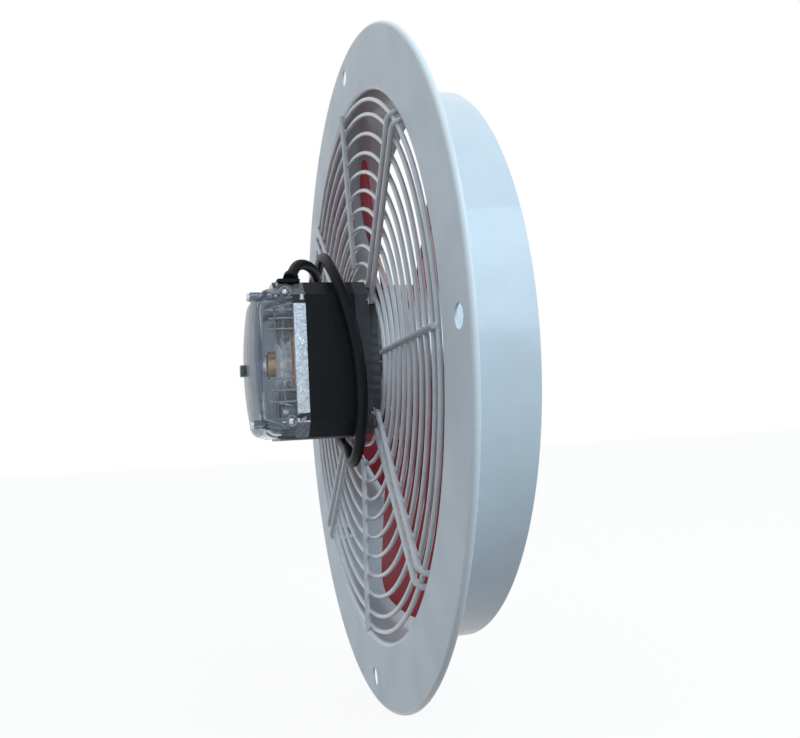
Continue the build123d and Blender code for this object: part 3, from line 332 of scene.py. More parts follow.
# %% Ring section
sheet = 1.2
bend = 3.0
collar_r = 154.8
collar_end = 43.5
flange_r = 190.0
rim_depth = 3.0
rim_bend = 2.0
cut_edge = 0.45
rim_edge = 0.4
rim_inner_bend = 0.8
section = rounded_path(
    [
        (collar_r, collar_end, 0),
        (collar_r, 0, 0),
        (flange_r, 0, 0),
        (flange_r, rim_depth, 0),
        (flange_r - sheet, rim_depth, 0),
        (flange_r - sheet, sheet, 0),
        (collar_r + sheet, sheet, 0),
        (collar_r + sheet, collar_end, 0),
    ],
    [cut_edge, bend, rim_bend, rim_edge, rim_edge, rim_inner_bend, bend - sheet, cut_edge],
    steps=9,
    closed=True,
)
blank = piece_from_grids("ring_blank", [(turned_grid(section, 288), True, True)])
report(blank)


# %% [markdown]
# The four bolt holes are punched after the drawing, as in the press. A punch is a short closed
# cylinder that goes through the sheet from 4 mm before it to 6 mm behind it, and a boolean cuts
# all four at once. The edges of the holes are then rounded, as the paint rounds them.

# %% Bolt holes
hole_circle_r = 177.5
hole_r = 5.0
punch_start = -4.0
punch_stop = 6.0
paint_round = 0.4


def punch_grid(turn):
    """A closed cylinder at an angle on the bolt circle: hole centre + (r cos a, y, r sin a)."""
    centre = hole_circle_r * np.array([math.cos(turn), 0, math.sin(turn)])
    angle = np.linspace(0, 2 * np.pi, 40, endpoint=False)
    circle = hole_r * np.stack([np.cos(angle), 0 * angle, np.sin(angle)], axis=-1)
    rows = ((0, punch_start), (1, punch_start), (1, punch_stop), (0, punch_stop))
    return np.stack([circle * share + centre + (0, y, 0) for share, y in rows])


turns = [quarter * math.pi / 2 for quarter in range(4)]
punch = piece_from_grids("punch", [(punch_grid(turn), False, True) for turn in turns])
cut = blank.modifiers.new("punched", "BOOLEAN")
cut.operation = "DIFFERENCE"
cut.solver = "EXACT"
cut.object = punch
bpy.context.view_layer.update()
cut_blank = blank.evaluated_get(bpy.context.evaluated_depsgraph_get())
punched = bpy.data.meshes.new_from_object(cut_blank)
for spare in (blank, punch):
    bpy.data.objects.remove(spare)
ring = round_edges(finish_mesh("ring", punched), paint_round, segments=3)
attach(ring, "root")
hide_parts("wall_ring")
report(ring)


# %% [markdown]
# The guard is steel wire: eleven rings on a slight dish, laid on four hairpins that carry the
# motor and on four straight spokes. All of it shares a few rules, so they come first. A ring's
# height follows its radius, the arms and spokes lie under the rings and are pressed into them a
# little, the rings are slightly oval, and the whole guard leans a little in the throat.

# %% Shape of the guard
axis_way = np.array([0, 1, 0])
ring_wire_r = 1.25
arm_wire_r = 1.5
weld_sink = 0.3
rim_y = -0.3
middle_y = 2.65
outer_ring_r = 151.0
second_ring_r = 143.3
third_ring_r = 132.85
ring_pitch = 10.45
even_rings = [third_ring_r - ring_pitch * k for k in range(9)]
ring_radii = np.array([outer_ring_r, second_ring_r] + even_rings)
oval_gain = 1.2
lean_share = 0.0033
arm_turns = np.radians([45, 135, 225, 315])
spoke_turns = np.radians([0, 90, 180, 270])


def dish(radius):
    """Height of the ring wires, which rises evenly from rim_y at the rim to middle_y inside."""
    share = (outer_ring_r - radius) / (outer_ring_r - even_rings[-1])
    return rim_y + (middle_y - rim_y) * share


def wire_height(radius):
    """Height of an arm or spoke wire, under the rings and pressed into them by weld_sink."""
    return dish(radius) - (ring_wire_r + arm_wire_r - weld_sink)


def oval(around):
    """What a ring's radius gains at an angle a: oval_gain * cos 2a, more at the two sides."""
    return oval_gain * np.cos(2 * around)


def lean(points):
    """The guard sits a hair askew in the throat, so y grows by a small share of x."""
    return points + points[..., :1] * axis_way * lean_share


def outward(turn):
    """The way out from the axis at an angle: (cos a, 0, sin a)."""
    return np.array([math.cos(turn), 0, math.sin(turn)])


def sideways(turn):
    """The way round the axis at an angle: (-sin a, 0, cos a)."""
    return np.array([-math.sin(turn), 0, math.cos(turn)])


print("ring radii", np.round(ring_radii, 2).tolist())


# %% [markdown]
# Bent and welded wire is never quite true. Each ring wanders in and out by about a tenth of a
# millimetre at most, in three slow and seven quick waves a turn, and along the axis in two. The
# start of each wave is drawn by chance.

# %% Guard rings
rng = np.random.default_rng(7)
slow_wave = 0.07
quick_wave = 0.04
lift_wave = 0.06


def ring_line(radius):
    """A ring's line (r cos a, y, r sin a): r and y are its radius and height plus small sines."""
    around = np.linspace(0, 2 * np.pi, 240, endpoint=False)
    wander = slow_wave * np.sin(3 * around + rng.uniform(0, 6))
    wander += quick_wave * np.sin(7 * around + rng.uniform(0, 6))
    reach = radius + (wander + oval(around))
    height = dish(radius) + lift_wave * np.sin(2 * around + rng.uniform(0, 6))
    return np.stack([reach * np.cos(around), height, reach * np.sin(around)], axis=-1)


grids = []
for radius in ring_radii:
    tube = tube_grid(ring_line(radius), ring_wire_r, 12, reference=axis_way, closed=True)
    grids.append((lean(tube), True, True))
guard_rings = piece_from_grids("ring_wires", grids)
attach(guard_rings, "root")
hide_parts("guard_rings")
report(guard_rings)


# %% [markdown]
# Each arm is one wire bent to a hairpin. Its two legs run out from the motor side by side, turn
# into the throat and meet there, which makes a hook that holds the guard in the ring. The cut
# ends are closed and a little rounded, as paint leaves them.

# %% Guard arms
arm_start = 47.0
arm_side = 5.0
hook_reach = 153.45
hook_depth = 14.0
hook_bend = 4.9
end_soft = 0.35
end_share = 0.75


def cut_wire(path, radius):
    """A wire along a path whose two cut ends are closed and rounded over the length end_soft."""
    tube = tube_grid(path, radius, 14)
    start_way = (path[1] - path[0]) / np.linalg.norm(path[1] - path[0])
    stop_way = (path[-2] - path[-1]) / np.linalg.norm(path[-2] - path[-1])
    head = [path[0] + (tube[0] - path[0]) * share for share in (0.0, end_share)]
    tail = [path[-1] + (tube[-1] - path[-1]) * share for share in (end_share, 0.0)]
    head.append(tube[0] + start_way * end_soft)
    tail.insert(0, tube[-1] + stop_way * end_soft)
    return np.concatenate([np.stack(head), tube[1:-1], np.stack(tail)])


def arm_line(turn):
    """A hairpin's line: corners u * outward + v * sideways + y, there at v and back at -v."""
    stations = [
        (arm_start, arm_side, wire_height(arm_start)),
        (hook_reach, arm_side, wire_height(hook_reach)),
        (hook_reach, arm_side, hook_depth),
    ]
    stations += [(u, -v, y) for u, v, y in stations[::-1]]
    corners = [u * outward(turn) + v * sideways(turn) + y * axis_way for u, v, y in stations]
    path = rounded_path(corners, [0] + 4 * [hook_bend] + [0], steps=10)
    first_leg = np.linspace(path[0], path[1], 40)[:-1]
    last_leg = np.linspace(path[-2], path[-1], 40)[1:]
    return np.concatenate([first_leg, path[1:-1], last_leg])


grids = [(lean(cut_wire(arm_line(turn), arm_wire_r)), False, True) for turn in arm_turns]
guard_arms = piece_from_grids("arm_wires", grids)
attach(guard_arms, "root")
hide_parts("guard_arms")
report(guard_arms)


# %% [markdown]
# The four spokes are straight cut wires between the arms. They only tie the rings together, so
# they stop short of the motor and of the collar.

# %% Guard spokes
spoke_start = 56.0
spoke_stop = 152.4
reach = np.linspace(spoke_start, spoke_stop, 30)
grids = []
for turn in spoke_turns:
    path = reach[:, None] * outward(turn) + wire_height(reach)[:, None] * axis_way
    grids.append((lean(cut_wire(path, arm_wire_r)), False, True))
guard_spokes = piece_from_grids("spoke_wires", grids)
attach(guard_spokes, "root")
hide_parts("guard_spokes")
report(guard_spokes)


# %% [markdown]
# A resistance weld squeezes the two wires together and leaves a little collar of metal round the
# crossing. Here each weld is a flattened ball with a gently lumpy skin, all of them in one mesh,
# placed by the radius of its ring and the line of its wire, and hardly wider than the wires. The
# spokes don't reach the innermost ring, so it has welds at the arms alone.

# %% Welds
weld_drop = 0.85
weld_long = 1.75
weld_wide = 1.70
weld_high = 1.05
theta = np.linspace(0, np.pi, 9)[:, None]
phi = np.linspace(0, 2 * np.pi, 14, endpoint=False)[None]


def crossings(turn, side, radii):
    """Where a wire crosses rings of radius r: u = sqrt(r * r - side * side) along the wire."""
    there = turn + np.arcsin(side / radii)
    u = np.sqrt((radii + oval(there)) ** 2 - side**2)
    heights = dish(radii) - weld_drop
    return u[:, None] * outward(turn) + side * sideways(turn) + heights[:, None] * axis_way


def weld_ball(spot, out, phase):
    """A flattened ball: its width swells by 1 + 0.10 sin 2a + 0.07 sin 3a sin t, each with a phase."""
    beside = np.cross(out, axis_way)
    swell = 1 + 0.10 * np.sin(2 * phi + phase[0]) + 0.07 * np.sin(3 * phi + phase[1]) * np.sin(theta)
    x = weld_long * np.sin(theta) * np.cos(phi) * swell
    z = weld_wide * np.sin(theta) * np.sin(phi) * swell
    y = weld_high * np.cos(theta) * (1 + 0.08 * np.sin(phase[2])) + 0 * phi
    return spot + x[..., None] * out + z[..., None] * beside + y[..., None] * axis_way


wires = [(turn, side, ring_radii) for turn in arm_turns for side in (arm_side, -arm_side)]
wires += [(turn, 0.0, ring_radii[:-1]) for turn in spoke_turns]
spots = lean(np.concatenate([crossings(*wire) for wire in wires]))
along = np.concatenate([np.tile(outward(turn), (len(radii), 1)) for turn, side, radii in wires])
phases = rng.uniform(0, 2 * np.pi, (len(spots), 3))
grids = [(weld_ball(*weld), False, True) for weld in zip(spots, along, phases)]
welds = piece_from_grids("welds", grids)
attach(welds, "root")
print(len(spots), "welds")
report(welds)


# %% [markdown]
# The motor's parts, the clamps, the screws and the impeller are already true in the solids. Each
# gets a copy of its solid with the doubled points merged and its flat faces joined. Those named
# in edge_width have their edges rounded a little too, because no cut, cast or moulded edge is
# truly sharp and it is the rounding that catches the light.

# %% Finished copies of the solids
flat_within = math.radians(0.4)


def finished(node, body, width):
    """A copy of one solid with merged points, joined flat faces and edges rounded by width."""
    mesh = frame["nodes"][node].data.copy()
    if "custom_normal" in mesh.attributes:
        mesh.attributes.remove(mesh.attributes["custom_normal"])
    work = bmesh.new()
    work.from_mesh(mesh)
    bmesh.ops.remove_doubles(work, verts=work.verts, dist=merge_within)
    bmesh.ops.dissolve_limit(work, angle_limit=flat_within, verts=work.verts, edges=work.edges)
    work.to_mesh(mesh)
    work.free()
    piece = finish_mesh(node + "_finished", mesh)
    if width:
        round_edges(piece, width)
    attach(piece, body)
    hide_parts(node)
    return piece


record = frame["record"]
slots = {part["node"]: part["material_slot"] for part in record["subparts"]}
body_of = {node: body for body, nodes in record["behaviour"]["bodies"].items() for node in nodes}
edge_width = {
    "stator_stack": 0.3, "rear_end_shield": 0.4, "front_end_shield": 0.4, "rear_cover": 0.35,
    "front_cover": 0.4, "cover_plug": 0.2, "clamp_plates": 0.3, "clamp_nuts": 0.25,
    "through_bolts": 0.3, "cover_screws": 0.2, "cover_strap": 0.2, "cable_gland": 0.35,
    "rear_bearing": 0.3, "front_bearing": 0.3, "impeller_blades": 0.3, "impeller_hub": 0.3,
    "hub_bush": 0.3, "hub_rivets": 0.2,
}
made_anew = (
    "wall_ring", "guard_rings", "guard_arms", "guard_spokes",
    "supply_lead", "lead_cores", "core_ferrules",
)
pieces = {}
for node in frame["nodes"]:
    if node not in made_anew:
        pieces[node] = finished(node, body_of[node], edge_width.get(node, 0.0))
print(len(pieces), "finished copies")


# %% [markdown]
# The clear cover is a moulding. Its near wall carries slim level ribs and slanted gussets at the
# corners, thin and glossy, so they show as bright lines. Each rib is a fine wire half sunk in the
# wall: rays shot at the cover find the wall's place, so the ribs lie on it whatever its draft.

# %% Cover ribs
rib_r = 0.5
ray_from = 70.0
wall_after = 30.0
cover_work = bmesh.new()
cover_work.from_mesh(frame["nodes"]["rear_cover"].data)
cover_tree = BVHTree.FromBMesh(cover_work)
cover_work.free()


def on_cover(y, z):
    """The point of the cover's near wall at y and z, found by a ray that comes from +X."""
    hit = cover_tree.ray_cast(Vector((ray_from, y, z)) * MM, Vector((-1, 0, 0)))[0]
    return None if hit is None or hit.x < wall_after * MM else np.array(hit) / MM


def rib_grids(ends):
    """A wire from one end to the other on the wall, cut where the cover has no wall."""
    (y0, z0), (y1, z1) = ends
    line = [on_cover(y0 + (y1 - y0) * s, z0 + (z1 - z0) * s) for s in np.linspace(0, 1, 13)]
    line = np.array([point for point in line if point is not None])
    return [(closed_tube(line, rib_r), False, True)] if len(line) > 3 else []


level_ribs = [((-57.0, z), (-44.0, z)) for z in (25.7, 21.2, 15.5, -10.5, -17.0, -23.0)]
gussets = [
    ((-58.6, 25.7), (-44.2, 29.3)),
    ((-54.6, 34.3), (-46.5, 37.4)),
    ((-60.7, -31.5), (-47.9, -36.3)),
    ((-57.8, -22.3), (-45.9, -25.4)),
]
grids = [grid for ends in level_ribs + gussets for grid in rib_grids(ends)]
print(len(grids), "ribs on the cover")


# %% [markdown]
# The near wall also has two round bosses. A boss is a ring of bead with two crossed webs, and the
# domed tip of a screw sits in its middle. A bead is a tube round a circle that faces sideways, and
# a tip is half an ellipse turned about an axis that points the same way, closed behind the wall.

# %% Bosses and screw tips
bead_r = 0.4
web_r = 0.45
tip_r = 1.9
tip_height = 1.3
tip_root = np.array([-0.5, 0, 0])


def bead_ring(centre, radius):
    """A ring of bead round a centre on the wall: (0, r cos a, r sin a) for a full turn."""
    turn = np.linspace(0, 2 * np.pi, 48, endpoint=False)
    line = centre + radius * np.stack([0 * turn, np.cos(turn), np.sin(turn)], axis=-1)
    return tube_grid(line, bead_r, 12, reference=(1, 0, 0), closed=True)


def dome(centre):
    """A domed tip that faces sideways: half an ellipse, height h cos t and radius r sin t."""
    t = np.linspace(0, np.pi / 2, 9)[:, None]
    turn = np.linspace(0, 2 * np.pi, 32, endpoint=False)[None]
    x = tip_height * np.cos(t) + 0 * turn
    y = tip_r * np.sin(t) * np.cos(turn)
    z = tip_r * np.sin(t) * np.sin(turn)
    shell = np.stack([x, y, z], axis=-1)
    return centre + np.concatenate([shell, 0 * shell[:1] + tip_root])


tips = []
for y, z, radius in ((-47.5, 35.5, 3.0), (-46.8, -33.2, 2.8)):
    seat = on_cover(y, z)
    if seat is None:
        print("no wall for the boss at", y, z)
        continue
    grids.append((bead_ring(seat, radius), True, True))
    tips.append((dome(seat), False, True))
    for turn in (math.pi / 4, -math.pi / 4):
        way = np.array([0, math.cos(turn), math.sin(turn)]) * radius
        web = seat + np.linspace(-1, 1, 5)[:, None] * way
        grids.append((closed_tube(web, web_r), False, True))
cover_ribs = piece_from_grids("cover_ribs", grids)
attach(cover_ribs, "root")
screw_tips = piece_from_grids("screw_tips", tips)
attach(screw_tips, "root")
print(len(grids), "ribs, webs and bosses")
report(cover_ribs)
report(screw_tips)


# %% [markdown]
# A finish is a small tree of nodes. One helper adds a node and fills its inputs, which keeps each
# tree below down to what differs from one finish to the next.

# %% Nodes
def add_node(tree, kind, settings=None, **inputs):
    """Adds a node to a tree and fills its inputs: a socket is linked, and any other value is set.

    An input goes by its label, with _ for each space, or by i and its number, as in i0.
    """
    node = tree.nodes.new(kind)
    for label, value in (settings or {}).items():
        setattr(node, label, value)
    for label, value in inputs.items():
        key = int(label[1:]) if label[1:].isdigit() else label.replace("_", " ")
        if isinstance(value, bpy.types.NodeSocket):
            tree.links.new(value, node.inputs[key])
        else:
            node.inputs[key].default_value = value
    return node


# %% [markdown]
# Every finish reads the object's own coordinates, so it stays put when the camera moves. This
# maker sets up one shader and hands out its parts by plain names: noise, bands, blends and bumps.

# %% Finish maker
class Finish:
    """A node material: one main shader, plus textures made on the object's own coordinates."""

    def __init__(self, name, colour, roughness, **sockets):
        self.name = name
        self.material = bpy.data.materials.new(name)
        self.material.use_nodes = True
        self.material.diffuse_color = (*colour, 1.0)
        self.tree = self.material.node_tree
        self.shader = self.tree.nodes["Principled BSDF"]
        self.shader.inputs["Base Color"].default_value = (*colour, 1.0)
        self.shader.inputs["Roughness"].default_value = roughness
        for label, value in sockets.items():
            self.shader.inputs[label.replace("_", " ")].default_value = value
        self.place = self.node("ShaderNodeTexCoord").outputs["Object"]

    def node(self, kind, settings=None, **inputs):
        """Adds a node to this finish."""
        return add_node(self.tree, kind, settings, **inputs)

    def noise(self, scale, detail=3.0, stretch=(1, 1, 1)):
        """Soft cloudy values from 0 to 1: scale times a metre, times stretch along each axis."""
        place = self.node("ShaderNodeMapping", Vector=self.place, Scale=stretch).outputs[0]
        clouds = self.node("ShaderNodeTexNoise", Vector=place, Scale=scale, Detail=detail, Roughness=0.55)
        return clouds.outputs["Fac"]

    def bands(self, direction, scale, **more):
        """Even soft bands from 0 to 1 across one axis, closer together as scale grows."""
        settings = {"bands_direction": direction, "wave_profile": "SIN"}
        wave = self.node("ShaderNodeTexWave", settings, Vector=self.place, Scale=scale, **more)
        return wave.outputs["Fac"]

    def spread(self, value, low, high, out_low=0.0, out_high=1.0):
        """Maps low..high to out_low..out_high and holds the ends."""
        ends = {"From_Min": low, "From_Max": high, "To_Min": out_low, "To_Max": out_high}
        return self.node("ShaderNodeMapRange", Value=value, **ends).outputs[0]

    def fade(self, distance, start, stop, out_start=0.0, out_stop=1.0):
        """As spread, over a distance on the object whose start and stop are in millimetres."""
        return self.spread(distance, start * MM, stop * MM, out_start, out_stop)

    def blend(self, share, first, second):
        """Mixes two colours by share, from 0 for the first to 1 for the second."""
        mix = self.node("ShaderNodeMix", {"data_type": "RGBA"}, i0=share)
        for socket, colour in ((mix.inputs[6], first), (mix.inputs[7], second)):
            if isinstance(colour, bpy.types.NodeSocket):
                self.tree.links.new(colour, socket)
            else:
                socket.default_value = (*colour, 1.0)
        return mix.outputs[2]

    def product(self, first, second):
        """Multiplies two values."""
        return self.node("ShaderNodeMath", {"operation": "MULTIPLY"}, i0=first, i1=second).outputs[0]

    def size_of(self):
        """The place's X, Y and Z without their signs, so that a pattern is alike on both sides."""
        plain = self.node("ShaderNodeVectorMath", {"operation": "ABSOLUTE"}, i0=self.place)
        return self.node("ShaderNodeSeparateXYZ", Vector=plain.outputs[0]).outputs

    def bump(self, *layers):
        """Raises the surface by several layers, each given as (value, height in millimetres)."""
        normal = None
        for value, height in layers:
            bump = self.node("ShaderNodeBump", Strength=1.0, Distance=height * MM, Height=value)
            if normal is not None:
                self.tree.links.new(normal, bump.inputs["Normal"])
            normal = bump.outputs[0]
        self.tree.links.new(normal, self.shader.inputs["Normal"])

    def feed(self, label, value):
        """Links a value or colour to one of the shader's sockets."""
        self.tree.links.new(value, self.shader.inputs[label])


def dress(piece, finish):
    """Gives a piece one finish."""
    piece.data.materials.clear()
    piece.data.materials.append(finish.material)


def second_finish(piece, finish, chosen):
    """Gives a second finish to the faces whose middles, in millimetres, are chosen."""
    middles = np.empty(len(piece.data.polygons) * 3)
    piece.data.polygons.foreach_get("center", middles)
    picked = chosen(middles.reshape(-1, 3) / MM)
    piece.data.materials.append(finish.material)
    piece.data.polygons.foreach_set("material_index", picked.astype(np.int32))
    print(piece.name, int(picked.sum()), "faces with", finish.name)


# %% [markdown]
# The ring carries a thick gloss paint over the bare steel, a cool off-white. Sprayed paint dries
# with a faint orange peel, the big flat flange keeps the press's shallow waves, and dust and
# handling leave the gloss a little uneven. The colour also carries painted light: the inside of
# the throat is painted grey as painted shade, and the rim is painted near white as a painted
# highlight. The flange's front face is rubbed dull, so it has a paint of its own, given to its
# faces alone, without the clear gloss of the collar. That paint's colour is lighter than the
# collar's, a painted light that makes up for the shade on that face.

# %% Ring paint
# painted shade: the inside of the throat is given this darker grey
throat_shade_grey = (0.36, 0.39, 0.42)
# painted highlight: the rim's colour is blended towards this near white
rim_highlight_white = (0.92, 0.97, 1.0)
throat = (collar_r + 0.1, collar_r + 0.4)
rim = (flange_r - 2.2, flange_r - 0.8)
face_depth = 0.1
face_r = flange_r - 1.8


def gloss_paint(name, colour, roughness, specular, coat):
    """The ring's paint: waves and peel as bump, grime in the colour, painted shade in the throat, a
    painted highlight on the rim.
    """
    paint = Finish(
        name, colour, roughness, Specular_IOR_Level=specular, Coat_Weight=coat, Coat_Roughness=0.06
    )
    waves = paint.noise(11.0, detail=1.0, stretch=(1, 1, 0.4))
    peel = paint.noise(420.0, detail=2.0)
    grime = paint.noise(38.0, detail=6.0)
    paint.bump((waves, 0.35), (peel, 0.012))
    paint.feed("Roughness", paint.spread(grime, 0.35, 0.7, roughness - 0.05, roughness + 0.05))
    grimy = tuple(0.9 * value for value in colour)
    painted = paint.blend(paint.spread(grime, 0.4, 0.9), colour, grimy)
    level = paint.node("ShaderNodeVectorMath", {"operation": "MULTIPLY"}, i0=paint.place, i1=(1, 0, 1))
    length = paint.node("ShaderNodeVectorMath", {"operation": "LENGTH"}, i0=level.outputs[0])
    from_axis = length.outputs["Value"]
    # painted highlight: the rim is blended towards near white
    with_rim_highlight = paint.blend(paint.fade(from_axis, *rim, 0.0, 0.85), painted, rim_highlight_white)
    # painted shade: the throat's inside is blended towards the darker grey
    paint.feed("Base Color", paint.blend(paint.fade(from_axis, *throat, 0.75, 0.0), with_rim_highlight, throat_shade_grey))
    return paint


ring_paint = gloss_paint("ring_paint", (0.72, 0.80, 0.86), 0.31, specular=0.35, coat=0.34)
# painted light: the flange face's paint is a lighter copy of the collar's, making up for its shade
flange_lit_paint = gloss_paint("flange_lit_paint", (0.80, 0.88, 0.95), 0.48, specular=0.6, coat=0.0)
dress(ring, ring_paint)
second_finish(
    ring, flange_lit_paint, lambda p: (p[:, 1] < face_depth) & (np.hypot(p[:, 0], p[:, 2]) < face_r)
)


# %% [markdown]
# The guard carries the same kind of paint, a little greyer and with a coarser skin. Soft patches
# of grime keep the wires from looking new.

# %% Guard paint
clean_grey = (0.78, 0.82, 0.86)
grimy_grey = (0.66, 0.70, 0.74)
guard_paint = Finish("guard_paint", clean_grey, 0.28, Coat_Weight=0.4, Coat_Roughness=0.06)
guard_paint.bump((guard_paint.noise(500.0, detail=1.5), 0.03))
patches = guard_paint.spread(guard_paint.noise(80.0, detail=4.0), 0.4, 0.8)
guard_paint.feed("Base Color", guard_paint.blend(patches, clean_grey, grimy_grey))
for piece in (guard_rings, guard_arms, guard_spokes, welds):
    dress(piece, guard_paint)
print("paints made")


# %% [markdown]
# Many small parts have a plain finish: one colour, one roughness and a fine grain that breaks up
# the light. One helper makes each of them from a line of values: rubber and cable sheath, painted,
# plated, ground and sintered metal, copper, felt and moulded plastic. A grain that is finer along
# one axis than along another turns into the fine lines of rolled or ground steel.

# %% Plain finishes
finishes = {}


def grained(name, colour, roughness, grain, height, detail=3.0, stretch=(1, 1, 1), **sockets):
    """A finish with one fine grain: its scale per metre, its height in millimetres."""
    finish = Finish(name, colour, roughness, **sockets)
    finish.bump((finish.noise(grain, detail, stretch), height))
    finishes[name] = finish


grained("bronze", (0.42, 0.25, 0.12), 0.3, 1500.0, 0.02, detail=2.0, Metallic=1.0)
grained("white_felt", (0.78, 0.78, 0.76), 0.95, 1400.0, 0.25, detail=5.0)
grained("black_rubber", (0.010, 0.012, 0.015), 0.5, 1200.0, 0.02, Specular_IOR_Level=0.15)
grained("black_paint", (0.03, 0.031, 0.035), 0.35, 900.0, 0.015)
grained("strap_steel", (0.22, 0.235, 0.26), 0.42, 600.0, 0.02, stretch=(8, 1, 1), Metallic=0.9)
grained("ground_steel", (0.60, 0.61, 0.63), 0.22, 3000.0, 0.004, stretch=(0.1, 1, 0.1), Metallic=1.0)
grained("copper", (0.65, 0.28, 0.16), 0.3, 800.0, 0.02, Metallic=1.0)
grained("bobbin_plastic", (0.08, 0.08, 0.09), 0.5, 700.0, 0.02)
grained("lead_sheath", (0.010, 0.013, 0.017), 0.46, 900.0, 0.02, Specular_IOR_Level=0.16)
grained("core_insulation", (0.20, 0.10, 0.05), 0.4, 900.0, 0.01)
grained("ferrule_metal", (0.62, 0.62, 0.60), 0.3, 1500.0, 0.01, Metallic=1.0)
grained("impeller_red", (0.42, 0.02, 0.035), 0.45, 400.0, 0.02, Specular_IOR_Level=0.25)
grained("hub_grey", (0.40, 0.43, 0.46), 0.4, 500.0, 0.03, Metallic=0.7)
print(len(finishes), "plain finishes")


# %% [markdown]
# Stacked plates, wound wire and moulded lines all show as even bands. The stator is a stack of
# thin plates dipped in black, the rotor a stack of bare ones, and the coils are turns of lacquered
# wire. The plug has fine moulded lines, and the smoked plastic shows faint wavy bands where it
# flowed. A plated screw has no bands: its gloss is what changes from spot to spot.

# %% Banded finishes and zinc
black = Finish("stator_black", (0.006, 0.010, 0.014), 0.42, Specular_IOR_Level=0.2)
black.bump((black.bands("Y", 320.0), 0.04), (black.noise(900.0), 0.02))
lamination = Finish("lamination_steel", (0.28, 0.28, 0.30), 0.4, Metallic=1.0)
lamination.bump((lamination.bands("Y", 320.0), 0.03))
winding = Finish("winding_wire", (0.42, 0.16, 0.06), 0.28, Metallic=0.8)
winding.bump((winding.bands("Y", 500.0), 0.2))
moulded = Finish("grey_plastic", (0.20, 0.22, 0.25), 0.4)
moulded.bump((moulded.bands("Z", 200.0), 0.2))
smoked = Finish("smoked_plastic", (0.070, 0.080, 0.092), 0.22, Coat_Weight=0.3, Coat_Roughness=0.08)
flowed = smoked.bands("Z", 60.0, Distortion=1.5, Detail=2.0)
smoked.bump((flowed, 0.12), (smoked.noise(500.0, detail=2.0), 0.015))
zinc = Finish("zinc_steel", (0.58, 0.60, 0.63), 0.28, Metallic=1.0)
zinc.feed("Roughness", zinc.spread(zinc.noise(900.0, detail=4.0), 0.3, 0.7, 0.2, 0.42))
for finish in (black, lamination, winding, moulded, smoked, zinc):
    finishes[finish.name] = finish
print(len(finishes), "finishes so far")


# %% [markdown]
# The end shields are cast in aluminium with a faint spangle. Their colour also carries painted
# light: a level band through the middle is painted bright as a painted highlight, and above and
# below it the casting is painted dark as painted shade, while the outer rim keeps the spangle.
# The distance from the middle along Z and X tells these apart: the dark part lies inside the rim
# and farther from the middle than the band.

# %% Cast aluminium
web_shade_from = (13.0, 17.0)
rim_from = (37.5, 38.5)
boss_highlight_until = (11.0, 13.0)
cast = Finish("cast_aluminium", (0.55, 0.60, 0.66), 0.3, Metallic=1.0)
spangle = cast.node("ShaderNodeTexVoronoi", Vector=cast.place, Scale=900.0, Randomness=1.0)
crystals = cast.product(spangle.outputs["Distance"], 0.85)
bright = cast.blend(crystals, (0.68, 0.77, 0.86), (0.26, 0.31, 0.37))
size = cast.size_of()
# painted shade above and below the middle band, inside the rim
web = cast.fade(size["Z"], *web_shade_from, 0.0, 0.8)
inside = cast.fade(size["X"], *rim_from, 1.0, 0.0)
# painted highlight on the level band through the middle
boss = cast.product(inside, cast.fade(size["Z"], *boss_highlight_until, 1.0, 0.0))
with_boss_highlight = cast.blend(boss, bright, (0.90, 0.95, 1.0))
cast.feed("Base Color", cast.blend(cast.product(web, inside), with_boss_highlight, (0.10, 0.12, 0.15)))
cast.feed("Roughness", cast.spread(cast.noise(300.0), 0.35, 0.65, 0.18, 0.42))
cast.bump((cast.noise(170.0), 0.3))
finishes["cast_aluminium"] = cast
print("cast aluminium made")


# %% [markdown]
# The cover is clear plastic, and what is seen through it counts as much as its own gloss. Its
# colour carries painted shade: its far side is tinted dark, and its near side fades from light at
# the middle to grey above and below. The rear face is rougher and tinted darker, with soft
# streaks, so its faces get a finish of their own, and the ribs are a milky kind of the same plastic.

# %% Clear plastic
rear_face_y = -60.5
shade_height_span = (12.0, 38.0)
far_shade_span = (-12.0, 12.0)
clear = Finish(
    "clear_plastic", (0.50, 0.56, 0.63), 0.04, Transmission_Weight=1.0, IOR=1.49, Specular_IOR_Level=0.25
)
across = clear.node("ShaderNodeSeparateXYZ", Vector=clear.place).outputs["X"]
# painted shade: the near side turns grey above and below the middle
near = clear.blend(clear.fade(clear.size_of()["Z"], *shade_height_span), (0.92, 0.96, 1.0), (0.46, 0.52, 0.59))
# painted shade: the far side is tinted dark
clear.feed("Base Color", clear.blend(clear.fade(across, *far_shade_span), (0.10, 0.12, 0.15), near))
clear.bump((clear.noise(45.0, detail=2.0), 0.25))
finishes["clear_plastic"] = clear
rear = Finish(
    "cover_rear", (0.34, 0.39, 0.45), 0.16, Transmission_Weight=0.75, IOR=1.12, Specular_IOR_Level=0.35
)
flow = rear.noise(55.0, detail=2.0, stretch=(5, 1, 0.5))
rear.feed("Base Color", rear.blend(rear.spread(flow, 0.40, 0.62), (0.34, 0.39, 0.46), (0.54, 0.61, 0.68)))
rear.bump((flow, 0.5))
grained("rib_plastic", (0.62, 0.70, 0.78), 0.12, 500.0, 0.02, Transmission_Weight=0.45, IOR=1.49)
print("clear plastics made")


# %% [markdown]
# Each copied solid wears the finish of its slot in the record. The pieces made above are dressed
# by name, and the rear faces of the cover get their second finish last.

# %% Dressing the pieces
for node, piece in pieces.items():
    dress(piece, finishes[slots[node]])
for piece, name in (
    (core_wires, "core_insulation"),
    (ferrules, "ferrule_metal"),
    (lead, "lead_sheath"),
    (cover_ribs, "rib_plastic"),
    (screw_tips, "zinc_steel"),
):
    dress(piece, finishes[name])
second_finish(pieces["rear_cover"], rear, lambda p: p[:, 1] < rear_face_y)
print(len(finishes), "finishes")


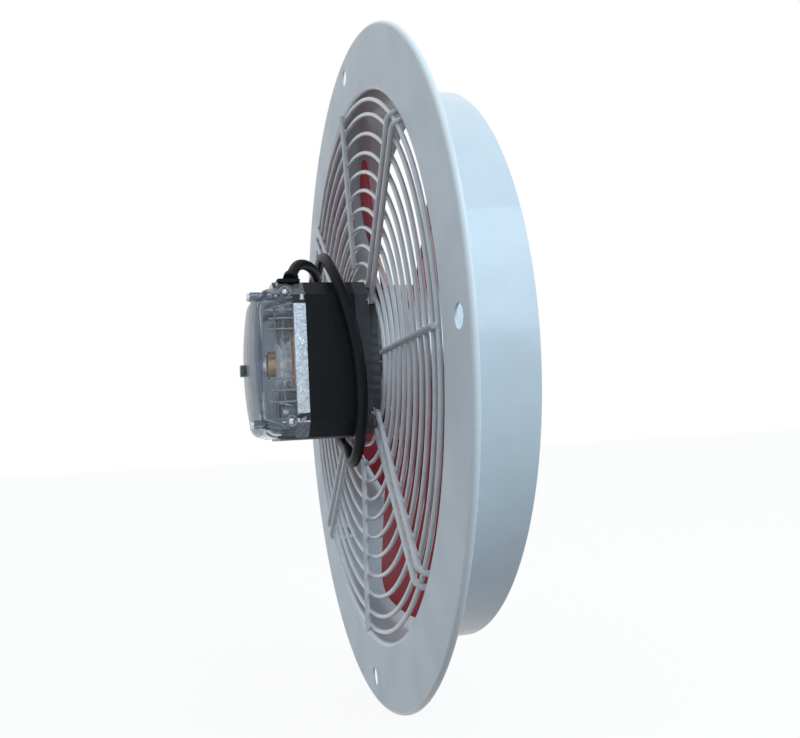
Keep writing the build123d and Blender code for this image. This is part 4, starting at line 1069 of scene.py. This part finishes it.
# %% [markdown]
# The fan stands on a plain floor in front of plain white. The floor sends little light back up to
# the fan, yet the camera sees it almost white, so it is a dark surface that glows only for rays
# from the camera, from gloss or through clear plastic. The world uses the same trick further down.

# %% Floor
def seen_share(tree):
    """1 for rays from the camera, from gloss or through clear plastic, and 0 for all others."""
    rays = add_node(tree, "ShaderNodeLightPath").outputs
    largest = {"operation": "MAXIMUM"}
    glossy, through = rays["Is Glossy Ray"], rays["Is Transmission Ray"]
    either = add_node(tree, "ShaderNodeMath", largest, i0=glossy, i1=through).outputs[0]
    return add_node(tree, "ShaderNodeMath", largest, i0=rays["Is Camera Ray"], i1=either).outputs[0]


floor_reach = 6.0  # metres
floor_gap = 0.3
floor_grey = (0.12, 0.12, 0.12, 1)
floor_glow = 0.896
low = -(flange_r + floor_gap) * MM
corners = [(x * floor_reach, y * floor_reach, low) for x, y in ((-1, -1), (1, -1), (1, 1), (-1, 1))]
floor_mesh = bpy.data.meshes.new("floor")
floor_mesh.from_pydata(corners, [], [(0, 1, 2, 3)])
floor = new_object("floor", floor_mesh)
floor_finish = bpy.data.materials.new("floor")
floor_finish.use_nodes = True
tree = floor_finish.node_tree
tree.nodes.clear()
diffuse = add_node(tree, "ShaderNodeBsdfDiffuse", Color=floor_grey)
strength = add_node(tree, "ShaderNodeMath", {"operation": "MULTIPLY"}, i0=seen_share(tree), i1=floor_glow)
glow = add_node(tree, "ShaderNodeEmission", Strength=strength.outputs[0])
both = add_node(tree, "ShaderNodeAddShader", i0=diffuse.outputs[0], i1=glow.outputs[0])
add_node(tree, "ShaderNodeOutputMaterial", Surface=both.outputs[0])
floor_mesh.materials.append(floor_finish)
print("floor at", round(low, 4))


# %% [markdown]
# The world is plain white to the same rays as the floor's glow, and a weaker, cooler sky to all
# others, so it fills the shade evenly and gently. The key light is one large soft lamp, like a
# window, on the camera's side, above the fan and towards its collar. Its place and sizes are in
# metres, and it faces the middle of the flange.

# %% World and window
world = bpy.data.worlds.new("world")
bpy.context.scene.world = world
world.use_nodes = True
tree = world.node_tree
tree.nodes.clear()
sky = add_node(tree, "ShaderNodeBackground", Color=(0.86, 0.94, 1.0, 1), Strength=0.69)
white = add_node(tree, "ShaderNodeBackground", Color=(1, 1, 1, 1), Strength=1.0)
choice = add_node(
    tree, "ShaderNodeMixShader", i0=seen_share(tree), i1=sky.outputs[0], i2=white.outputs[0]
)
add_node(tree, "ShaderNodeOutputWorld", Surface=choice.outputs[0])
window_place = Vector((1.04, 0.55, 0.56))
window_data = bpy.data.lights.new("window", "AREA")
window_data.shape = "RECTANGLE"
window_data.size = 0.8
window_data.size_y = 1.0
window_data.energy = 7.9
window_data.color = (0.66, 0.86, 1.0)
window = new_object("window", window_data)
window.location = window_place
window.rotation_euler = (-window_place).to_track_quat("-Z", "Y").to_euler()
bpy.context.scene.view_settings.view_transform = "Standard"
print("stage set")


# %% [markdown]
# The last line brings the scene up to date.

# %% The end
bpy.context.view_layer.update()
